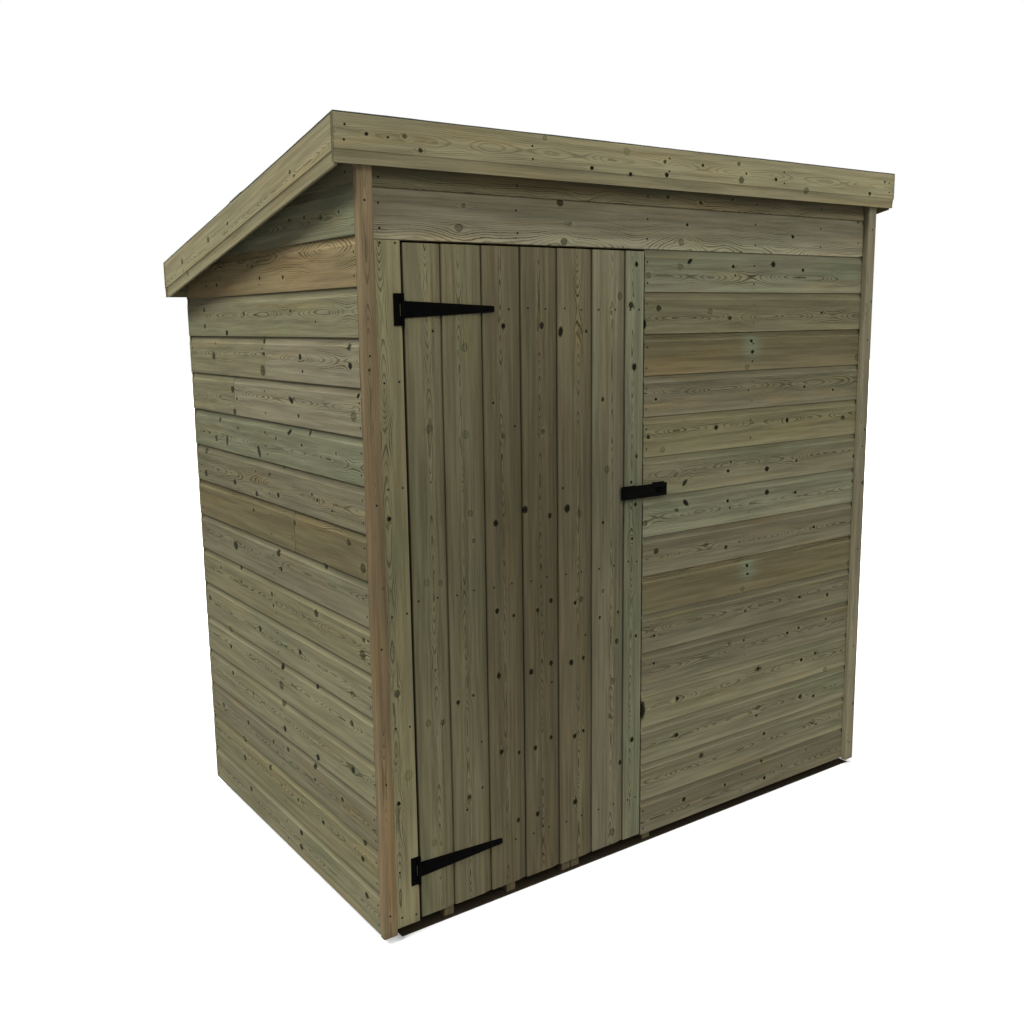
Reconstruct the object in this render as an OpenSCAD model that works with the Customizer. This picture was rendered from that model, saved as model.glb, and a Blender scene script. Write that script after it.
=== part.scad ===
// Garden shed with a single sloping roof, shiplap walls and one boarded door.
// Front wall faces -Y, +X is to the right of someone facing the door, +Z is up.
// Origin: on the ground, under the middle of the roof.

/* [Walls] */
// Width over the outer faces of the side walls
wall_w = 1816; // [1600:1:2400]
// Depth from the front boards' face to the back boards' face
wall_d = 1150; // [900:1:1800]
// Thickness of a wall board
board_t = 12; // [10:0.5:18]
// Height of wall that one board covers
board_h = 112; // [96:1:118]
// Height of the hollow along a board's top edge
cove_h = 28; // [12:1:36]
// Depth of that hollow
cove_d = 5; // [2:0.5:7]
// Height of the lowest board's edge above the ground
wall_base_z = 24; // [12:1:36]
// Cover of the lowest board on the front
front_first = 105; // [70:1:112]
// Cover of the lowest board on the sides and back
side_first = 112; // [70:1:112]
// Least height left between the doorway's top and the roof's front edge
head_room = 250; // [180:1:360]

/* [Corners] */
// Width of a corner trim
trim_w = 38; // [25:1:60]
// Thickness of a corner trim
trim_t = 18; // [12:1:24]
// Height of a trim's lower end above the ground
trim_base_z = 20; // [2:1:24]

/* [Frame] */
// Width of a stud or rail, along its wall
stud_w = 38; // [30:1:50]
// Depth of a stud or rail, through its wall
stud_d = 28; // [22:1:45]
// Distance from the doorway to the front wall's middle stud
front_stud_x = 418; // [200:1:600]
// Air between framing pieces that are nailed end to side
joint_gap = 0.2; // [0.1:0.1:0.4]
// Bays between the uprights of the back wall
back_bays = 3; // [2:1:5]

/* [Floor] */
// Height of a floor bearer
bearer_h = 44; // [40:1:75]
// Width of a floor bearer
bearer_w = 28; // [22:1:50]
// Thickness of the floor boards
floor_t = 12; // [9:1:22]
// Distance of the bearers that show at the front from the front face
bearer_front = 14; // [12:1:40]
// The same distance for the bearers of the right half, which sit in shade
bearer_back_set = 70; // [40:1:150]
// Width of one floor board
floor_board_w = 95; // [70:1:150]
// Depth of the groove between floor boards
floor_groove = 1.5; // [0.5:0.5:4]
// Distance of the last bearer's middle from the right wall's face
bearer_end = 54; // [30:1:120]

/* [Roof] */
// Height of the roof's front edge above the ground
roof_front_z = 1955; // [1900:1:2150]
// Fall of the roof towards the back, in degrees
roof_slope = 11.8; // [6:0.1:15]
// Roof in front of the front boards
front_over = 36; // [32:1:90]
// Roof behind the back boards
back_over = 16; // [14:1:90]
// Roof beyond each side wall
side_over = 60; // [40:1:120]
// Thickness of the roof deck
deck_t = 11; // [8:0.5:18]
// Thickness of the roofing felt
felt_t = 2.5; // [1.5:0.5:5]
// Height of the fascia boards
fascia_h = 102; // [80:1:120]
// Thickness of the fascia boards
fascia_t = 12; // [9:0.5:14]
// Height of a purlin
purlin_h = 45; // [30:1:75]
// Thickness of a purlin
purlin_w = 28; // [22:1:45]
// Height of the battens that carry the side fascias
batten_h = 28; // [20:1:40]
// Width of those battens
batten_w = 34; // [20:1:36]

/* [Door] */
// Width of the fixed upright board on the hinge side
post_board_w = 74; // [60:1:110]
// Width of the door
door_w = 735; // [640:1:820]
// Gap round the door's edges
door_gap = 5; // [5:0.5:8]
// Height of the door's lower edge above the ground
door_base_z = 30; // [26:1:45]
// Width of the door board at the hinge side
door_first = 100; // [80:1:130]
// Width of the door board at the free edge
door_last = 65; // [50:1:100]
// Height of a ledge across the back of the door
ledge_h = 95; // [60:1:120]
// Thickness of the ledges and braces
ledge_t = 15; // [10:1:20]
// Distance of a ledge's ends from the door's edges
ledge_in = 14; // [10:1:40]
// Width of a brace
brace_w = 70; // [40:1:95]
// Height of the middle ledge's centre above the ground
ledge_mid_z = 845; // [700:1:950]

/* [Hinges] */
// Distance from the door's top down to the top hinge's centre
hinge_drop = 149; // [100:1:300]
// Distance from the door's lower edge up to the bottom hinge's centre
hinge_rise = 133; // [100:1:260]
// Height of a hinge plate on the fixed board
plate_h = 73; // [60:1:110]
// Distance from the pin to the plate's far edge
plate_w = 21; // [16:1:50]
// Distance of the pins from the doorway's edge, over the fixed board
pin_set = 1; // [0:0.5:3]
// Length of the strap from the pin
strap_len = 255; // [180:1:400]
// Height of the strap's widest place, beside the knuckle
strap_root_h = 39; // [30:1:50]
// Height of the strap at its tip
strap_tip_h = 15; // [10:1:24]
// Radius of the strap's corners at the tip
strap_corner_r = 4; // [1:0.5:5]
// Height of the strap's knuckle
strap_knuckle_h = 29; // [20:1:40]
// Thickness of the hinge leaves
leaf_t = 3; // [2:0.5:4]
// Radius of the hinge knuckles
knuckle_r = 4.5; // [4:0.5:6]
// Radius of the hinge pins
pin_r = 2.5; // [1.5:0.5:3]
// Distance of the pins from the boards' face
pin_out = 5.5; // [5.5:0.5:8]

/* [Hasp] */
// Height of the hasp's centre above the ground
hasp_z = 1047; // [900:1:1200]
// Height of the hasp's flap
hasp_h = 36; // [26:1:50]
// Length of the flap from its pin
hasp_len = 158; // [155:1:180]
// Distance of the hasp's pin from the door's free edge
hasp_in = 74; // [60:1:80]
// Length of the hasp's fixed leaf
hasp_base_len = 46; // [30:1:60]
// Thickness of the hasp's leaves
hasp_t = 2.5; // [1.5:0.5:3]
// Radius of the staple's rod
staple_r = 3; // [2:0.5:4]
// Distance between the staple's legs
staple_span = 22; // [16:1:30]
// Distance the staple stands out from the wall
staple_out = 24; // [18:1:28]
// Length of the staple's plate
staple_plate_w = 43; // [36:1:60]
// Height of the staple's plate
staple_plate_h = 40; // [30:1:60]
// Distance from the hasp's pin to the staple
staple_x = 133; // [128:1:136]

/* [Damage] */
// Height of the larger broken place beside the door
break_low_z = 407; // [300:1:700]
// Length of the larger broken place
break_low_h = 58; // [10:1:80]
// Width of the larger broken place
break_low_w = 12; // [2:1:20]
// Distance from the doorway's top down to the smaller broken place
break_high_drop = 197; // [100:1:500]
// Length of the smaller broken place
break_high_h = 26; // [10:1:60]
// Width of the smaller broken place
break_high_w = 6; // [2:1:15]

/* [Hidden] */
$fn = 48;

cove_step = 18;
bore_play = 0.05;
knuckle_play = 0.5;
leaf_play = 1;
slot_play = 2.5;
tongue_play = 0.3;
tongue_w = 8;
cut_past = 1;
reach = 4000;
door_boards = 7;
// Bearers' middles that show at the front, from the left wall's face
bearers_in_view = [206, 402, 590, 622, 890];
bearers_in_shade = 4;
// Corners of a broken place, in shares of its width and of its length
break_outline = [[0.7, -0.35], [1, 0.05], [0.6, 0.4]];

side_x = wall_w / 2;
inner_x = side_x - board_t;
roof_x = side_x + side_over;
roof_d = front_over + wall_d + back_over;
front_y = front_over - roof_d / 2;
floor_z = bearer_h + floor_t;
rows_beside_door = floor((roof_front_z - head_room - wall_base_z - front_first) / board_h);
front_rows = ceil((roof_front_z - wall_base_z - front_first) / board_h) + 1;
side_rows = ceil((roof_front_z - wall_base_z - side_first) / board_h) + 1;
doorway_z = wall_base_z + front_first + rows_beside_door * board_h;
doorway_w = door_w + 2 * door_gap;
doorway_left = -side_x + trim_w + post_board_w;
doorway_right = doorway_left + doorway_w;
door_left = doorway_left + door_gap;
door_right = door_left + door_w;
door_top_z = doorway_z - door_gap;
door_pitch = (door_w - door_first - door_last) / (door_boards - 2);
pin_x = doorway_left - pin_set;
hinge_top_z = door_top_z - hinge_drop;
hinge_bottom_z = door_base_z + hinge_rise;
hasp_x = door_right - hasp_in;
break_high_z = doorway_z - break_high_drop;

wood = [0.78, 0.72, 0.52];
green_wood = [0.70, 0.72, 0.50];
red_wood = [0.70, 0.55, 0.40];
dark_felt = [0.18, 0.19, 0.18];
black_steel = [0.05, 0.05, 0.05];

// Height of the felt, the deck's top, its underside and what seats there, behind the front face
function felt_z(y) = roof_front_z - (y + front_over) * tan(roof_slope);
function deck_z(y) = felt_z(y) - felt_t / cos(roof_slope);
function under_z(y) = deck_z(y) - deck_t / cos(roof_slope);
function seat_z(y) = under_z(y) - joint_gap;

// Face of laid shiplap, as [depth, height] points from the lowest edge up
function lap_face(base, first, rows) = [
    for (i = [0 : rows - 1])
    let (low = i == 0 ? base : base + first + (i - 1) * board_h)
    let (high = base + first + i * board_h)
    each concat([[0, low]],
        [for (a = [0 : cove_step : 90]) [cove_d * sin(a), high - cove_h * cos(a)]])];

// Whole section of a boarded wall
module lap_section(base, first, rows) {
    face = lap_face(base, first, rows);
    top = base + first + (rows - 1) * board_h;
    polygon(concat(face, [[board_t, top], [board_t, base]]));
}

// Places wall coordinates, which start at the front boards' face, round the origin
module placed() {
    translate([0, front_y, 0]) children();
}

// Stands a section of [y, z] points up and runs it from x0 to x1
module along_x(x0, x1) {
    translate([x0, 0, 0])
        rotate([90, 0, 90])
            linear_extrude(x1 - x0)
                children();
}

// Stands a section of [x, z] points up and runs it from y0 to y1
module along_y(y0, y1) {
    translate([0, y1, 0])
        rotate([90, 0, 0])
            linear_extrude(y1 - y0)
                children();
}

// Cuts off everything above the seat under the deck
module below_deck() {
    difference() {
        children();
        along_x(-reach, reach)
            polygon([[-reach, seat_z(-reach)], [reach, seat_z(reach)],
                [reach, reach], [-reach, reach]]);
    }
}

module block(x0, x1, y0, y1, z0, z1) {
    translate([x0, y0, z0]) cube([x1 - x0, y1 - y0, z1 - z0]);
}

// A bar that follows the roof's fall, with its top under the deck
module sloped_bar(x0, x1, y0, y1, high) {
    along_x(x0, x1)
        polygon([[y0, seat_z(y0)], [y1, seat_z(y1)],
            [y1, seat_z(y1) - high], [y0, seat_z(y0) - high]]);
}

module bearer(x, y0) {
    block(x - bearer_w / 2, x + bearer_w / 2, y0, wall_d - bearer_front, 0, bearer_h);
}

module floor_bearers() {
    last_in_view = bearers_in_view[len(bearers_in_view) - 1] - side_x;
    step = (side_x - bearer_end - last_in_view) / bearers_in_shade;
    color(green_wood) placed() {
        for (x = bearers_in_view)
            bearer(x - side_x, bearer_front);
        for (i = [1 : bearers_in_shade])
            bearer(last_in_view + i * step, bearer_back_set);
    }
}

module floor_boards() {
    y0 = board_t + door_gap + joint_gap;
    y1 = wall_d - board_t - joint_gap;
    x1 = inner_x - joint_gap;
    color(wood) placed()
        difference() {
            block(-x1, x1, y0, y1, bearer_h, floor_z);
            for (y = [y0 + floor_board_w : floor_board_w : y1 - floor_t])
                block(-reach, reach, y - floor_groove / 2, y + floor_groove / 2,
                    floor_z - floor_groove, reach);
        }
}

// One upright of a frame, cut under the roof
module stud(x0, x1, y0, y1) {
    below_deck() block(x0, x1, y0, y1, floor_z, reach);
}

module front_frame() {
    y0 = board_t;
    y1 = board_t + stud_d;
    rail_z = seat_z(y1) - stud_w;
    left_post = -inner_x + stud_w;
    hinge_post = doorway_left - stud_w;
    latch_post = doorway_right + stud_w;
    mid = doorway_right + front_stud_x;
    right_post = inner_x - stud_w;
    bays = [[left_post, hinge_post], [latch_post, mid - stud_w / 2], [mid + stud_w / 2, right_post]];
    over_door = [doorway_left + joint_gap, doorway_right - joint_gap];
    color(wood) placed() {
        stud(-inner_x, left_post, y0, y1);
        stud(hinge_post, doorway_left, y0, y1);
        stud(doorway_right, latch_post, y0, y1);
        stud(mid - stud_w / 2, mid + stud_w / 2, y0, y1);
        stud(right_post, inner_x, y0, y1);
        for (bay = bays)
            for (z = [floor_z, rail_z])
                block(bay[0] + joint_gap, bay[1] - joint_gap, y0, y1, z, z + stud_w);
        for (z = [doorway_z, rail_z])
            block(over_door[0], over_door[1], y0, y1, z, z + stud_w);
    }
}

module side_frame(x0, x1) {
    y0 = board_t + stud_d + joint_gap;
    y1 = wall_d - board_t - stud_d - joint_gap;
    mid = (y0 + y1) / 2;
    rails = [[y0 + stud_w, mid - stud_w / 2], [mid + stud_w / 2, y1 - stud_w]];
    color(wood) placed() {
        stud(x0, x1, y0, y0 + stud_w);
        stud(x0, x1, mid - stud_w / 2, mid + stud_w / 2);
        stud(x0, x1, y1 - stud_w, y1);
        for (r = rails) {
            block(x0, x1, r[0] + joint_gap, r[1] - joint_gap, floor_z, floor_z + stud_w);
            sloped_bar(x0, x1, r[0] + joint_gap, r[1] - joint_gap, stud_w);
        }
    }
}

module left_frame() {
    side_frame(-inner_x, -inner_x + stud_d);
}

module right_frame() {
    side_frame(inner_x - stud_d, inner_x);
}

module back_frame() {
    y0 = wall_d - board_t - stud_d;
    y1 = wall_d - board_t;
    rail_z = seat_z(y1) - stud_w;
    step = (2 * inner_x - stud_w) / back_bays;
    color(wood) placed()
        for (i = [0 : back_bays]) {
            x = -inner_x + i * step;
            stud(x, x + stud_w, y0, y1);
            if (i < back_bays)
                for (z = [floor_z, rail_z])
                    block(x + stud_w + joint_gap, x + step - joint_gap, y0, y1, z, z + stud_w);
        }
}

// The boards over the doorway, right across the front
module front_boards_head() {
    color(wood) placed()
        intersection() {
            below_deck() along_x(-inner_x, inner_x)
                lap_section(wall_base_z, front_first, front_rows);
            block(-reach, reach, -reach, reach, doorway_z, reach);
        }
}

// The boards beside the doorway, with two broken places at the edge by the door
module front_boards_right() {
    color(wood) placed()
        difference() {
            along_x(doorway_right, inner_x)
                lap_section(wall_base_z, front_first, rows_beside_door + 1);
            bite(break_low_z, break_low_h, break_low_w);
            bite(break_high_z, break_high_h, break_high_w);
        }
}

// A broken place in the edge of the boards by the door
module bite(z, high, wide) {
    translate([doorway_right, 0, z])
        along_y(-cut_past, board_t + cut_past)
            polygon(concat([[-cut_past, high / 2], [-cut_past, -high / 2]],
                [for (p = break_outline) [p[0] * wide, p[1] * high]]));
}

module door_post_board() {
    color(green_wood) placed()
        block(-inner_x, doorway_left, 0, board_t, wall_base_z, doorway_z);
}

module left_boards() {
    color(wood) placed()
        below_deck() along_y(0, wall_d - board_t)
            translate([-side_x, 0])
                lap_section(wall_base_z, side_first, side_rows);
}

module right_boards() {
    mirror([1, 0, 0]) left_boards();
}

module back_boards() {
    color(wood) placed()
        below_deck() translate([0, wall_d, 0])
            mirror([0, 1, 0]) along_x(-side_x, side_x)
                lap_section(wall_base_z, side_first, side_rows);
}

module corner_trim_left() {
    color(red_wood) placed()
        below_deck() block(-side_x, -side_x + trim_w, -trim_t, 0, trim_base_z, reach);
}

module corner_trim_right() {
    mirror([1, 0, 0]) corner_trim_left();
}

module roof_purlins() {
    x1 = inner_x - stud_d - joint_gap;
    y0 = board_t + stud_d + joint_gap;
    y1 = wall_d - board_t - stud_d - joint_gap - purlin_w;
    color(wood) placed()
        for (y = [y0, (y0 + y1) / 2, y1])
            sloped_bar(-x1, x1, y, y + purlin_w, purlin_h);
}

// The battens under the roof's edges at the sides, just inside the fascias
module roof_battens() {
    x0 = roof_x - fascia_t - batten_w;
    color(wood) placed()
        for (s = [0, 1])
            mirror([s, 0, 0])
                sloped_bar(x0, roof_x - fascia_t, fascia_t - front_over,
                    wall_d + back_over - fascia_t, batten_h);
}

module roof_deck() {
    x1 = roof_x - fascia_t;
    y0 = -front_over + fascia_t;
    y1 = wall_d + back_over - fascia_t;
    color(wood) placed()
        along_x(-x1, x1)
            polygon([[y0, under_z(y0)], [y0, deck_z(y0)], [y1, deck_z(y1)], [y1, under_z(y1)]]);
}

module roof_felt() {
    y0 = -front_over;
    y1 = wall_d + back_over;
    color(dark_felt) placed()
        along_x(-roof_x, roof_x)
            polygon([[y0, deck_z(y0)], [y0, felt_z(y0)], [y1, felt_z(y1)], [y1, deck_z(y1)]]);
}

// Face of a fascia board, as [depth, height] points: flat above, hollowed along its lower edge
function fascia_face(low) = concat(
    [for (a = [90 : -cove_step : 0]) [cove_d * sin(a), low + cove_h * cos(a)]],
    [[0, low + fascia_h]]);

// Fascia across the front or back, with its top cut to the roof's fall
module fascia_front() {
    y0 = -front_over;
    y1 = y0 + fascia_t;
    low = deck_z(y0) - fascia_h;
    color(wood) placed()
        along_x(-roof_x, roof_x)
            translate([y0, 0])
                polygon(concat(fascia_face(low), [[fascia_t, deck_z(y1)], [fascia_t, low]]));
}

module fascia_back() {
    y0 = wall_d + back_over;
    y1 = y0 - fascia_t;
    low = deck_z(y0) - fascia_h;
    color(wood) placed()
        translate([0, y0, 0]) mirror([0, 1, 0])
            along_x(-roof_x, roof_x)
                polygon(concat(fascia_face(low), [[fascia_t, deck_z(y1)], [fascia_t, low]]));
}

// Fascia down the left side, a level board sheared to the roof's fall
module fascia_left() {
    y0 = -front_over + fascia_t;
    y1 = wall_d + back_over - fascia_t;
    fall = tan(roof_slope);
    turn = roof_slope;
    long = (y1 - y0) / cos(turn);
    extra = fascia_h * fall;
    color(wood) placed()
        intersection() {
            translate([-roof_x, y0, deck_z(y0)])
                rotate([-turn, 0, 0])
                    along_y(-extra, long + extra)
                        polygon(concat(fascia_face(-fascia_h), [[fascia_t, 0], [fascia_t, -fascia_h]]));
            block(-reach, reach, y0, y1, -reach, reach);
        }
}

module fascia_right() {
    mirror([1, 0, 0]) fascia_left();
}

// A hinge's fixed plate, its two outer knuckles and the pin
module hinge_plate(z) {
    half = plate_h / 2;
    root = strap_knuckle_h / 2 + knuckle_play;
    color(black_steel) placed()
        translate([pin_x, 0, z]) {
            block(-plate_w, -knuckle_r - leaf_play, -leaf_t, 0, -half, half);
            for (s = [-1, 1]) {
                low = s < 0 ? -half : root;
                high = s < 0 ? -root : half;
                block(-knuckle_r - leaf_play - joint_gap, 0, -leaf_t, 0, low, high);
                translate([0, -pin_out, low]) cylinder(r = knuckle_r, h = high - low);
            }
            translate([0, -pin_out, -half]) cylinder(r = pin_r, h = plate_h);
        }
}

module hinge_plate_top() {
    hinge_plate(hinge_top_z);
}

module hinge_plate_bottom() {
    hinge_plate(hinge_bottom_z);
}

// A hinge's tapering strap with the knuckle that turns on the pin
module hinge_strap(z) {
    start = knuckle_r + leaf_play;
    end = strap_len - strap_corner_r;
    root = strap_root_h / 2;
    tip = strap_tip_h / 2;
    knuckle = strap_knuckle_h / 2;
    color(black_steel) placed()
        translate([pin_x, 0, z])
            difference() {
                union() {
                    block(0, start + joint_gap, -leaf_t, 0, -knuckle, knuckle);
                    along_y(-leaf_t, 0) {
                        polygon([[start, -root], [end, -tip], [end, tip], [start, root]]);
                        translate([end, strap_corner_r - tip])
                            square([strap_corner_r, strap_tip_h - 2 * strap_corner_r]);
                        for (s = [-1, 1])
                            translate([end, s * (tip - strap_corner_r)]) circle(r = strap_corner_r);
                    }
                    translate([0, -pin_out, -knuckle]) cylinder(r = knuckle_r, h = strap_knuckle_h);
                }
                translate([0, -pin_out, -knuckle - cut_past])
                    cylinder(r = pin_r + bore_play, h = strap_knuckle_h + 2 * cut_past);
            }
}

module hinge_strap_top() {
    hinge_strap(hinge_top_z);
}

module hinge_strap_bottom() {
    hinge_strap(hinge_bottom_z);
}

// The hasp's fixed leaf on the door, with the two outer knuckles and the pin
module hasp_base() {
    half = hasp_h / 2;
    root = half / 2;
    color(black_steel) placed()
        translate([hasp_x, 0, hasp_z]) {
            block(knuckle_r + leaf_play, hasp_base_len, -hasp_t, 0, -half, half);
            for (s = [-1, 1]) {
                low = s < 0 ? -half : root + knuckle_play;
                high = s < 0 ? -root - knuckle_play : half;
                block(0, knuckle_r + leaf_play + joint_gap, -hasp_t, 0, low, high);
                translate([0, -pin_out, low]) cylinder(r = knuckle_r, h = high - low);
            }
            translate([0, -pin_out, -half]) cylinder(r = pin_r, h = hasp_h);
        }
}

// The hasp's long flap with its knuckle and the slot that goes over the staple
module hasp_flap() {
    half = hasp_h / 2;
    root = half / 2;
    flap_y = -pin_out - knuckle_r;
    start = knuckle_r + leaf_play;
    slot_half = staple_span / 2 + staple_r + slot_play;
    slot_r = staple_r + slot_play;
    color(black_steel) placed()
        translate([hasp_x, 0, hasp_z])
            difference() {
                union() {
                    block(start, hasp_len, flap_y, flap_y + hasp_t, -half, half);
                    block(0, start + joint_gap, flap_y, flap_y + hasp_t, -root, root);
                    translate([0, -pin_out, -root]) cylinder(r = knuckle_r, h = 2 * root);
                }
                translate([0, -pin_out, -root - cut_past])
                    cylinder(r = pin_r + bore_play, h = 2 * (root + cut_past));
                translate([staple_x, flap_y - cut_past, 0])
                    rotate([-90, 0, 0])
                        linear_extrude(hasp_t + 2 * cut_past) {
                            translate([-slot_half + slot_r, 0]) circle(r = slot_r);
                            translate([slot_half - slot_r, 0]) circle(r = slot_r);
                            translate([-slot_half + slot_r, -slot_r])
                                square([2 * (slot_half - slot_r), 2 * slot_r]);
                        }
            }
}

// The staple on the wall: a plate and a bent rod
module hasp_staple() {
    half = staple_plate_h / 2;
    bend = staple_span / 2;
    leg = staple_out - bend - staple_r;
    color(black_steel) placed()
        translate([hasp_x + staple_x, 0, hasp_z]) {
            block(-staple_plate_w / 2, staple_plate_w / 2, -hasp_t, 0, -half, half);
            for (s = [-1, 1])
                translate([s * bend, 0, 0]) rotate([90, 0, 0]) cylinder(r = staple_r, h = leg);
            translate([0, -leg, 0])
                rotate([0, 0, 180])
                    rotate_extrude(angle = 180)
                        translate([bend, 0]) circle(r = staple_r);
        }
}

// One upright door board: hollowed along its right edge, with a tongue under the next board
module door_board(i) {
    last = door_boards - 1;
    x0 = i == 0 ? door_left : door_left + door_first + (i - 1) * door_pitch;
    x1 = i == last ? door_right : door_left + door_first + i * door_pitch;
    back = i == 0 ? x0 : x0 + tongue_w + tongue_play;
    tongue_t = board_t - cove_d;
    lap_y = board_t - tongue_t / 2;
    color(i == last ? green_wood : wood) placed()
        translate([0, 0, door_base_z])
            linear_extrude(door_top_z - door_base_z)
                polygon(concat(
                    [[x0, 0]],
                    i == last ? [[x1, 0], [x1, board_t]] : concat(
                        [for (a = [0 : cove_step : 90]) [x1 - cove_h * cos(a), cove_d * sin(a)]],
                        [[x1, lap_y], [x1 + tongue_w, lap_y], [x1 + tongue_w, board_t]]),
                    [[back, board_t]],
                    i == 0 ? [] : [[back, lap_y - tongue_play], [x0, lap_y - tongue_play]]));
}

module door_board_1() { door_board(0); }
module door_board_2() { door_board(1); }
module door_board_3() { door_board(2); }
module door_board_4() { door_board(3); }
module door_board_5() { door_board(4); }
module door_board_6() { door_board(5); }
module door_board_7() { door_board(6); }

module door_ledge(z) {
    color(wood) placed()
        block(door_left + ledge_in, door_right - ledge_in, board_t, board_t + ledge_t,
            z - ledge_h / 2, z + ledge_h / 2);
}

module door_ledge_top() {
    door_ledge(hinge_top_z);
}

module door_ledge_middle() {
    door_ledge(ledge_mid_z);
}

module door_ledge_bottom() {
    door_ledge(hinge_bottom_z);
}

// A brace that rises from the hinge side to the free side, between two ledges
module door_brace(low_z, high_z) {
    z0 = low_z + ledge_h / 2 + joint_gap;
    z1 = high_z - ledge_h / 2 - joint_gap;
    x0 = door_left + ledge_in;
    x1 = door_right - ledge_in;
    rise = atan2(z1 - z0, x1 - x0 - brace_w);
    wide = brace_w / sin(rise);
    color(wood) placed()
        along_y(board_t, board_t + ledge_t)
            polygon([[x0, z0], [x0 + wide, z0], [x1, z1], [x1 - wide, z1]]);
}

module door_brace_upper() {
    door_brace(ledge_mid_z, hinge_top_z);
}

module door_brace_lower() {
    door_brace(hinge_bottom_z, ledge_mid_z);
}

floor_bearers();
floor_boards();
front_frame();
left_frame();
right_frame();
back_frame();
front_boards_head();
front_boards_right();
door_post_board();
left_boards();
right_boards();
back_boards();
corner_trim_left();
corner_trim_right();
roof_purlins();
roof_battens();
roof_deck();
roof_felt();
fascia_front();
fascia_back();
fascia_left();
fascia_right();
hinge_plate_top();
hinge_plate_bottom();
hasp_staple();
door_board_1();
door_board_2();
door_board_3();
door_board_4();
door_board_5();
door_board_6();
door_board_7();
door_ledge_top();
door_ledge_middle();
door_ledge_bottom();
door_brace_upper();
door_brace_lower();
hinge_strap_top();
hinge_strap_bottom();
hasp_base();
hasp_flap();
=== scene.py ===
# %% [markdown]
# # A garden shed, board by board
# This lesson dresses the solid model of a small wooden shed so that it looks like the real one.
# The solids give the sizes and say what turns on what. Here every wall board, door board, trim
# and fascia is cut, moulded, knotted and nailed as a joiner would, and the ironwork gets its paint.
# Every length is in metres, and the front wall faces -Y.

# %% Load the solid shed and keep its size
import math
import random

import bpy
import numpy as np
from mathutils import Matrix, Vector


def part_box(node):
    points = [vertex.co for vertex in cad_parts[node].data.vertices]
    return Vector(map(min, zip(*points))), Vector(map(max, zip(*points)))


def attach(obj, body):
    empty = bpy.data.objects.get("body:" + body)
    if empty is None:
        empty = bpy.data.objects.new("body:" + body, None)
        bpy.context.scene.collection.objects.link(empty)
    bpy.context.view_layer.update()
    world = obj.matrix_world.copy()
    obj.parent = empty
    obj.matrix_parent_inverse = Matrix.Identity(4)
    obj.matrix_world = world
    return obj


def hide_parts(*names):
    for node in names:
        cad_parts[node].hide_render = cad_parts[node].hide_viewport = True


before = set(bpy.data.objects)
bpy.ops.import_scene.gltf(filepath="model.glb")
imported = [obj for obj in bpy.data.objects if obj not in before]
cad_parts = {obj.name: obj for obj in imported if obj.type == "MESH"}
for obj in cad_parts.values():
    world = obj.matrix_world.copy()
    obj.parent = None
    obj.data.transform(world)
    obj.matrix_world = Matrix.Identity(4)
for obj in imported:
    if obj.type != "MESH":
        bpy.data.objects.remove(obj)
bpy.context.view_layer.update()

MM = 0.001
chance = random.Random(23)

# %% [markdown]
# ## The camera
# A camera can be set by eye, or solved from points whose places on the object are known. This one
# was solved: about a hundred board lines and corners fix where the photographer stood, how far the
# lens zoomed and the small tilt of the picture.

# %% The camera stands out to the left of the shed, at eye height
HEADING = math.radians(35.155)
LOOKING_DOWN = math.radians(9.784)
TILT = math.radians(-0.7445)
bpy.ops.object.camera_add(location=(-1.9895, -2.686, 1.5137))
camera = bpy.context.active_object
camera.rotation_euler = (
    Matrix.Rotation(-HEADING, 4, "Z")
    @ Matrix.Rotation(math.pi / 2 - LOOKING_DOWN, 4, "X")
    @ Matrix.Rotation(TILT, 4, "Z")
).to_euler()
camera.data.lens = 36.72
camera.data.shift_y = -0.0105
bpy.context.scene.camera = camera
bpy.context.scene.view_settings.view_transform = "Standard"
print("camera looks", [round(v, 3) for v in camera.matrix_world.to_quaternion() @ Vector((0, 0, -1))])

# %% [markdown]
# ## Hand tools
# Modelling by hand is: select something, then use one tool on it. These few helpers do just that.
# `saw` cuts with a plane, `pick` selects by place, and `push` moves what was picked.

# %% Select, cut and move
def only(*pieces):
    """Selects these pieces and nothing else; the first becomes the active one."""
    if bpy.context.mode != "OBJECT":
        bpy.ops.object.mode_set(mode="OBJECT")
    bpy.ops.object.select_all(action="DESELECT")
    for piece in pieces:
        piece.select_set(True)
    bpy.context.view_layer.objects.active = pieces[0]


# selecting one solid puts every new piece aside before the next primitive is added
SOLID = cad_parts["roof_deck"]


def settle(piece):
    """Writes a piece's place, turn and scale into its mesh, so that the object sits at the origin."""
    only(piece)
    bpy.ops.object.transform_apply(location=True, rotation=True, scale=True)
    return piece


def stick(name, low, high):
    """A squared length of timber between two corners."""
    only(SOLID)
    bpy.ops.mesh.primitive_cube_add(size=1, location=[(a + b) / 2 for a, b in zip(low, high)])
    piece = bpy.context.active_object
    piece.name = name
    piece.scale = [b - a for a, b in zip(low, high)]
    return settle(piece)


def saw(piece, at, across, drop=False):
    """Cuts a piece with a plane; with drop, the side that `across` points to falls off."""
    only(piece)
    bpy.ops.object.mode_set(mode="EDIT")
    bpy.ops.mesh.select_all(action="SELECT")
    bpy.ops.mesh.bisect(plane_co=at, plane_no=across, clear_outer=drop, use_fill=drop, threshold=1e-6)
    bpy.ops.object.mode_set(mode="OBJECT")


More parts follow.
